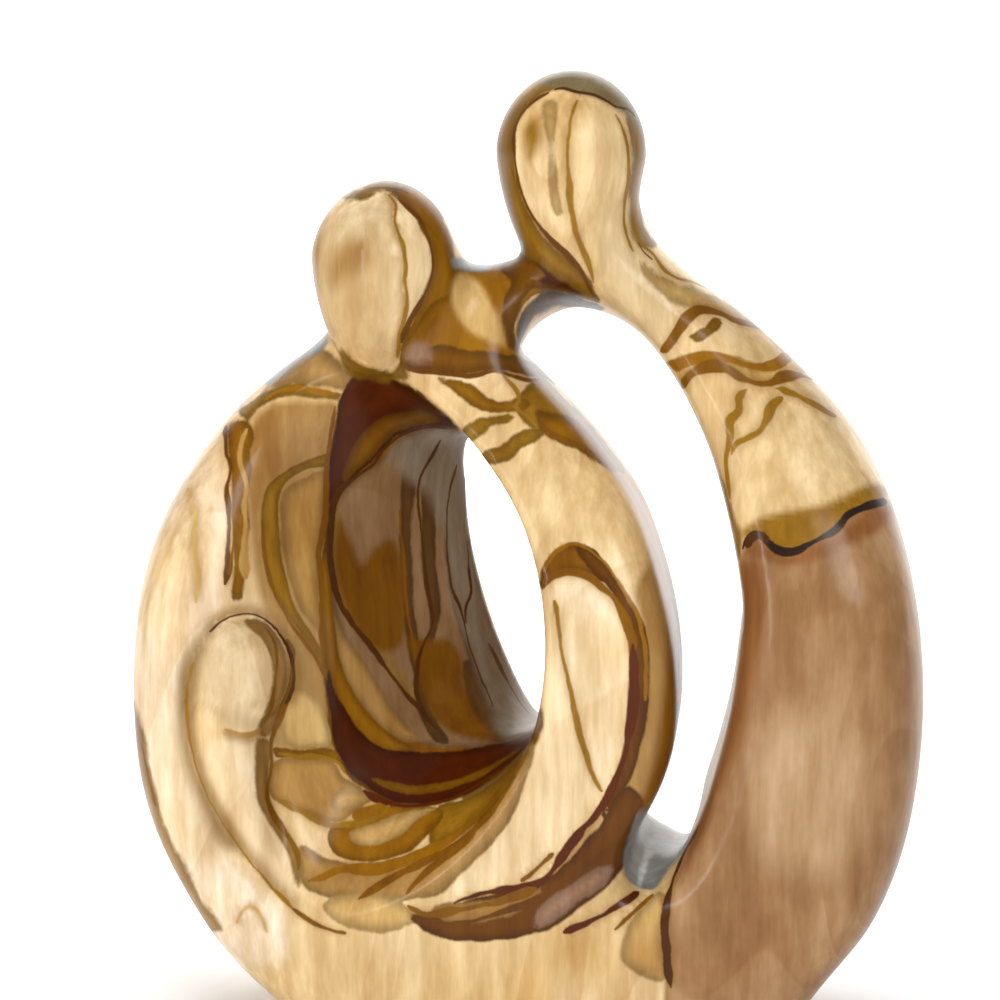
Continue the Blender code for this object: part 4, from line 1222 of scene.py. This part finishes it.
def layer_colours(nodes, place):
    """The colours through one growth layer, from one dark edge to the next."""
    ramp = nodes.add("ShaderNodeValToRGB", {"Fac": place})
    elements = ramp.color_ramp.elements
    for stop, _ in LAYER_COLOURS[1:-1]:
        elements.new(stop)
    for element, (stop, colour) in zip(elements, LAYER_COLOURS):
        element.position = stop
        element.color = (*colour, 1.0)
    return ramp.outputs["Color"]


def growth_layers(nodes, where):
    """The figure where no line is drawn: wavy upright layers, some stronger than others."""
    turned = nodes.split(nodes.vector("MULTIPLY", where, LAYER_TURN))
    across = nodes.math("ADD", nodes.math("ADD", turned["X"], turned["Y"]), turned["Z"])
    across = nodes.math("ADD", across, nodes.wobble(where, "layer_bend", LAYER_BEND))
    across = nodes.math("ADD", across, nodes.wobble(where, "layer_ripple", LAYER_RIPPLE))
    count = nodes.math("DIVIDE", across, LAYER_THICKNESS)
    own = nodes.add("ShaderNodeTexWhiteNoise", {"W": nodes.math("FLOOR", count)}, noise_dimensions="1D")
    strength = nodes.smooth(own.outputs["Value"], *LAYER_STRENGTH)
    return layer_colours(nodes, nodes.math("FRACT", count)), strength


def faint_lines(nodes, where):
    """How strong the faint wavy lines are, where a slow noise passes each of many levels."""
    level = nodes.math("FRACT", nodes.math("MULTIPLY", nodes.noise(where, "faint_lines"), LEVELS))
    fade = nodes.smooth(level, 0.0, LINES_FADE, 1.0, 0.0)
    start = nodes.smooth(level, 0.0, LINES_START)
    strength = nodes.smooth(nodes.noise(where, "faint_places"), *LINES_STRENGTH)
    return nodes.math("MULTIPLY", nodes.math("MULTIPLY", fade, start), strength)


def add_patches(nodes, where, wood, layers):
    """Lays the patches over the wood, ragged along the grain."""
    ragged = nodes.wobble(where, "patch_edges", PATCH_RAGGED)
    out, full = (nodes.math("SUBTRACT", side * PATCH_EDGE, ragged) for side in (-1, 1))
    for number in range(layers):
        inside = nodes.smooth(nodes.kept(f"patch_{number}", "Alpha"), out, full)
        wood = nodes.blend(inside, wood, nodes.kept(f"patch_{number}", "Color"))
    return wood


def add_veins(nodes, where, wood, layers):
    """Draws the growth lines over the wood, thicker and thinner along their way."""
    ragged = nodes.wobble(where, "line_edges", LINE_RAGGED)
    swell = nodes.smooth(nodes.noise(where, "line_swell"), *LINE_SWELL)
    for number in range(layers):
        width = nodes.kept(f"vein_width_{number}")
        offset = nodes.math("ABSOLUTE", nodes.math("ADD", nodes.kept(f"vein_{number}", "Alpha"), ragged))
        inside = nodes.math("SUBTRACT", nodes.math("MULTIPLY", width, swell), offset)
        drawn = nodes.smooth(inside, -LINE_SOFT, LINE_SOFT)
        drawn = nodes.math("MULTIPLY", drawn, nodes.math("GREATER_THAN", width, LINE_SOFT))
        wood = nodes.blend(drawn, wood, nodes.kept(f"vein_{number}", "Color"))
    return wood


def shade(nodes, wood):
    """Darkens the wood beside the growth lines, and lays the soft patches over it."""
    faded = nodes.blend(nodes.kept("fade"), wood, FADE_COLOUR)
    wood = nodes.vector("MINIMUM", faded, wood)
    bare = nodes.math("SUBTRACT", 1.0, nodes.kept("shade_cover"))
    return nodes.vector("ADD", nodes.vector("SCALE", wood, bare), nodes.kept("shade", "Vector"))


def shown_wood(nodes, where, heart, patches, veins):
    """The wood as the photograph shows it."""
    ground = sapwood(nodes, where, nodes.kept("ground", "Vector"))
    wood = nodes.blend(heart, ground, heartwood(nodes, where))
    wood = add_patches(nodes, where, wood, patches)
    wood = nodes.blend(faint_lines(nodes, where), wood, LINES_COLOUR, "MULTIPLY")
    return add_veins(nodes, where, shade(nodes, wood), veins)


def hidden_wood(nodes, where, edge, heart):
    """The wood of the sides that the photograph doesn't show."""
    figured, strength = growth_layers(nodes, where)
    layered = nodes.blend(strength, sapwood(nodes, where, CREAM), figured)
    wood = nodes.blend(heart, layered, heartwood(nodes, where))
    return nodes.blend(nodes.smooth(nodes.math("ABSOLUTE", edge), *HEART_BORDER), wood, DARK)


def toned(nodes, wood, fibre, mottle, streak):
    """The wood lighter and darker along its grain, and warmer where it is darker."""
    tone = nodes.math("ADD", nodes.smooth(fibre, *FIBRE_TONE), nodes.smooth(mottle, *MOTTLE_TONE))
    tone = nodes.math("MULTIPLY", tone, nodes.smooth(streak, *STREAK_TONE))
    powers = {channel: nodes.math("POWER", tone, power) for channel, power in enumerate(TONE_POWERS)}
    tint = nodes.add("ShaderNodeCombineXYZ", powers).outputs[0]
    return nodes.blend(1.0, wood, tint, "MULTIPLY")


def polished_olive_wood(patches, veins):
    """Figured olive wood under a satin varnish."""
    material = bpy.data.materials.new("polished_olive_wood")
    material.use_nodes = True
    nodes = Nodes(material)
    shader = material.node_tree.nodes["Principled BSDF"]
    where = nodes.add("ShaderNodeTexCoord").outputs["Object"]
    edge = nodes.kept("heartwood")
    heart = nodes.smooth(edge, -HEART_EDGE, HEART_EDGE)
    shown = shown_wood(nodes, where, heart, patches, veins)
    wood = nodes.blend(nodes.kept("front"), hidden_wood(nodes, where, edge, heart), shown)
    fibre, mottle, streak = (nodes.noise(where, name) for name in ("fibre", "mottle", "streak"))
    nodes.set(shader.inputs["Base Color"], toned(nodes, wood, fibre, mottle, streak))
    nodes.set(shader.inputs["Roughness"], nodes.smooth(mottle, *ROUGHNESS))
    for name, value in VARNISH.items():
        shader.inputs[name].default_value = value
    bump = {"Height": fibre, "Strength": BUMP_STRENGTH, "Distance": BUMP_DEPTH}
    nodes.set(shader.inputs["Normal"], nodes.add("ShaderNodeBump", bump).outputs["Normal"])
    return material


def make_wood():
    """The whole carving, in place of the plain solid."""
    grid = Grid()
    mesh = surface_of(grid, carving(grid))
    wood = bpy.data.objects.new("olive_wood_family", mesh)
    bpy.context.scene.collection.objects.link(wood)
    patches, veins = add_figure(mesh)
    mesh.materials.append(polished_olive_wood(patches, veins))
    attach(wood, "root")
    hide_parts("holy_family_carving")


def plain_material(name, colour, roughness):
    material = bpy.data.materials.new(name)
    material.use_nodes = True
    shader = material.node_tree.nodes["Principled BSDF"]
    shader.inputs["Base Color"].default_value = (*colour, 1.0)
    shader.inputs["Roughness"].default_value = roughness
    return material


def make_studio():
    """A pale floor that curves up into a backdrop."""
    profile = [(-FLOOR_FRONT, 0.0), (FLOOR_BACK, 0.0)]
    for step in range(1, SWEEP_STEPS + 1):
        turn = math.pi / 2 * step / SWEEP_STEPS
        profile.append((FLOOR_BACK + SWEEP * math.sin(turn), SWEEP * (1.0 - math.cos(turn))))
    profile.append((FLOOR_BACK + SWEEP, BACKDROP_TOP))
    points = [(side * FLOOR_SIDE, y, z) for side in (-1, 1) for y, z in profile]
    count = len(profile)
    faces = [(i, count + i, count + i + 1, i + 1) for i in range(count - 1)]
    mesh = bpy.data.meshes.new("studio_floor")
    mesh.from_pydata(points, [], faces)
    mesh.shade_smooth()
    mesh.materials.append(plain_material("pale_paper", FLOOR_COLOUR, FLOOR_ROUGHNESS))
    floor = bpy.data.objects.new("studio_floor", mesh)
    bpy.context.scene.collection.objects.link(floor)


def aim(item, target):
    way = Vector(target) - item.location
    item.rotation_euler = way.to_track_quat("-Z", "Y").to_euler()


def make_light(name, lamp):
    light = bpy.data.lights.new(name, "AREA")
    light.shape = "RECTANGLE"
    light.size, light.size_y = lamp.size
    light.energy = lamp.power
    item = bpy.data.objects.new(name, light)
    item.location = lamp.place
    aim(item, lamp.target)
    item.visible_glossy = lamp.mirrored
    bpy.context.scene.collection.objects.link(item)


def make_lights():
    for name, lamp in LIGHTS.items():
        make_light(name, lamp)
    world = bpy.data.worlds.new("white_room")
    world.use_nodes = True
    background = world.node_tree.nodes["Background"]
    background.inputs["Color"].default_value = (*ROOM_COLOUR, 1.0)
    background.inputs["Strength"].default_value = ROOM_STRENGTH
    bpy.context.scene.world = world
    bpy.context.scene.view_settings.view_transform = "Standard"


def make_camera():
    data = bpy.data.cameras.new("photo_camera")
    data.lens = LENS
    data.sensor_width = SENSOR
    data.clip_start = 0.01
    camera = bpy.data.objects.new("photo_camera", data)
    camera.location = CAMERA_PLACE
    aim(camera, CAMERA_AIM)
    bpy.context.scene.collection.objects.link(camera)
    bpy.context.scene.camera = camera


make_camera()
make_studio()
make_lights()
make_wood()
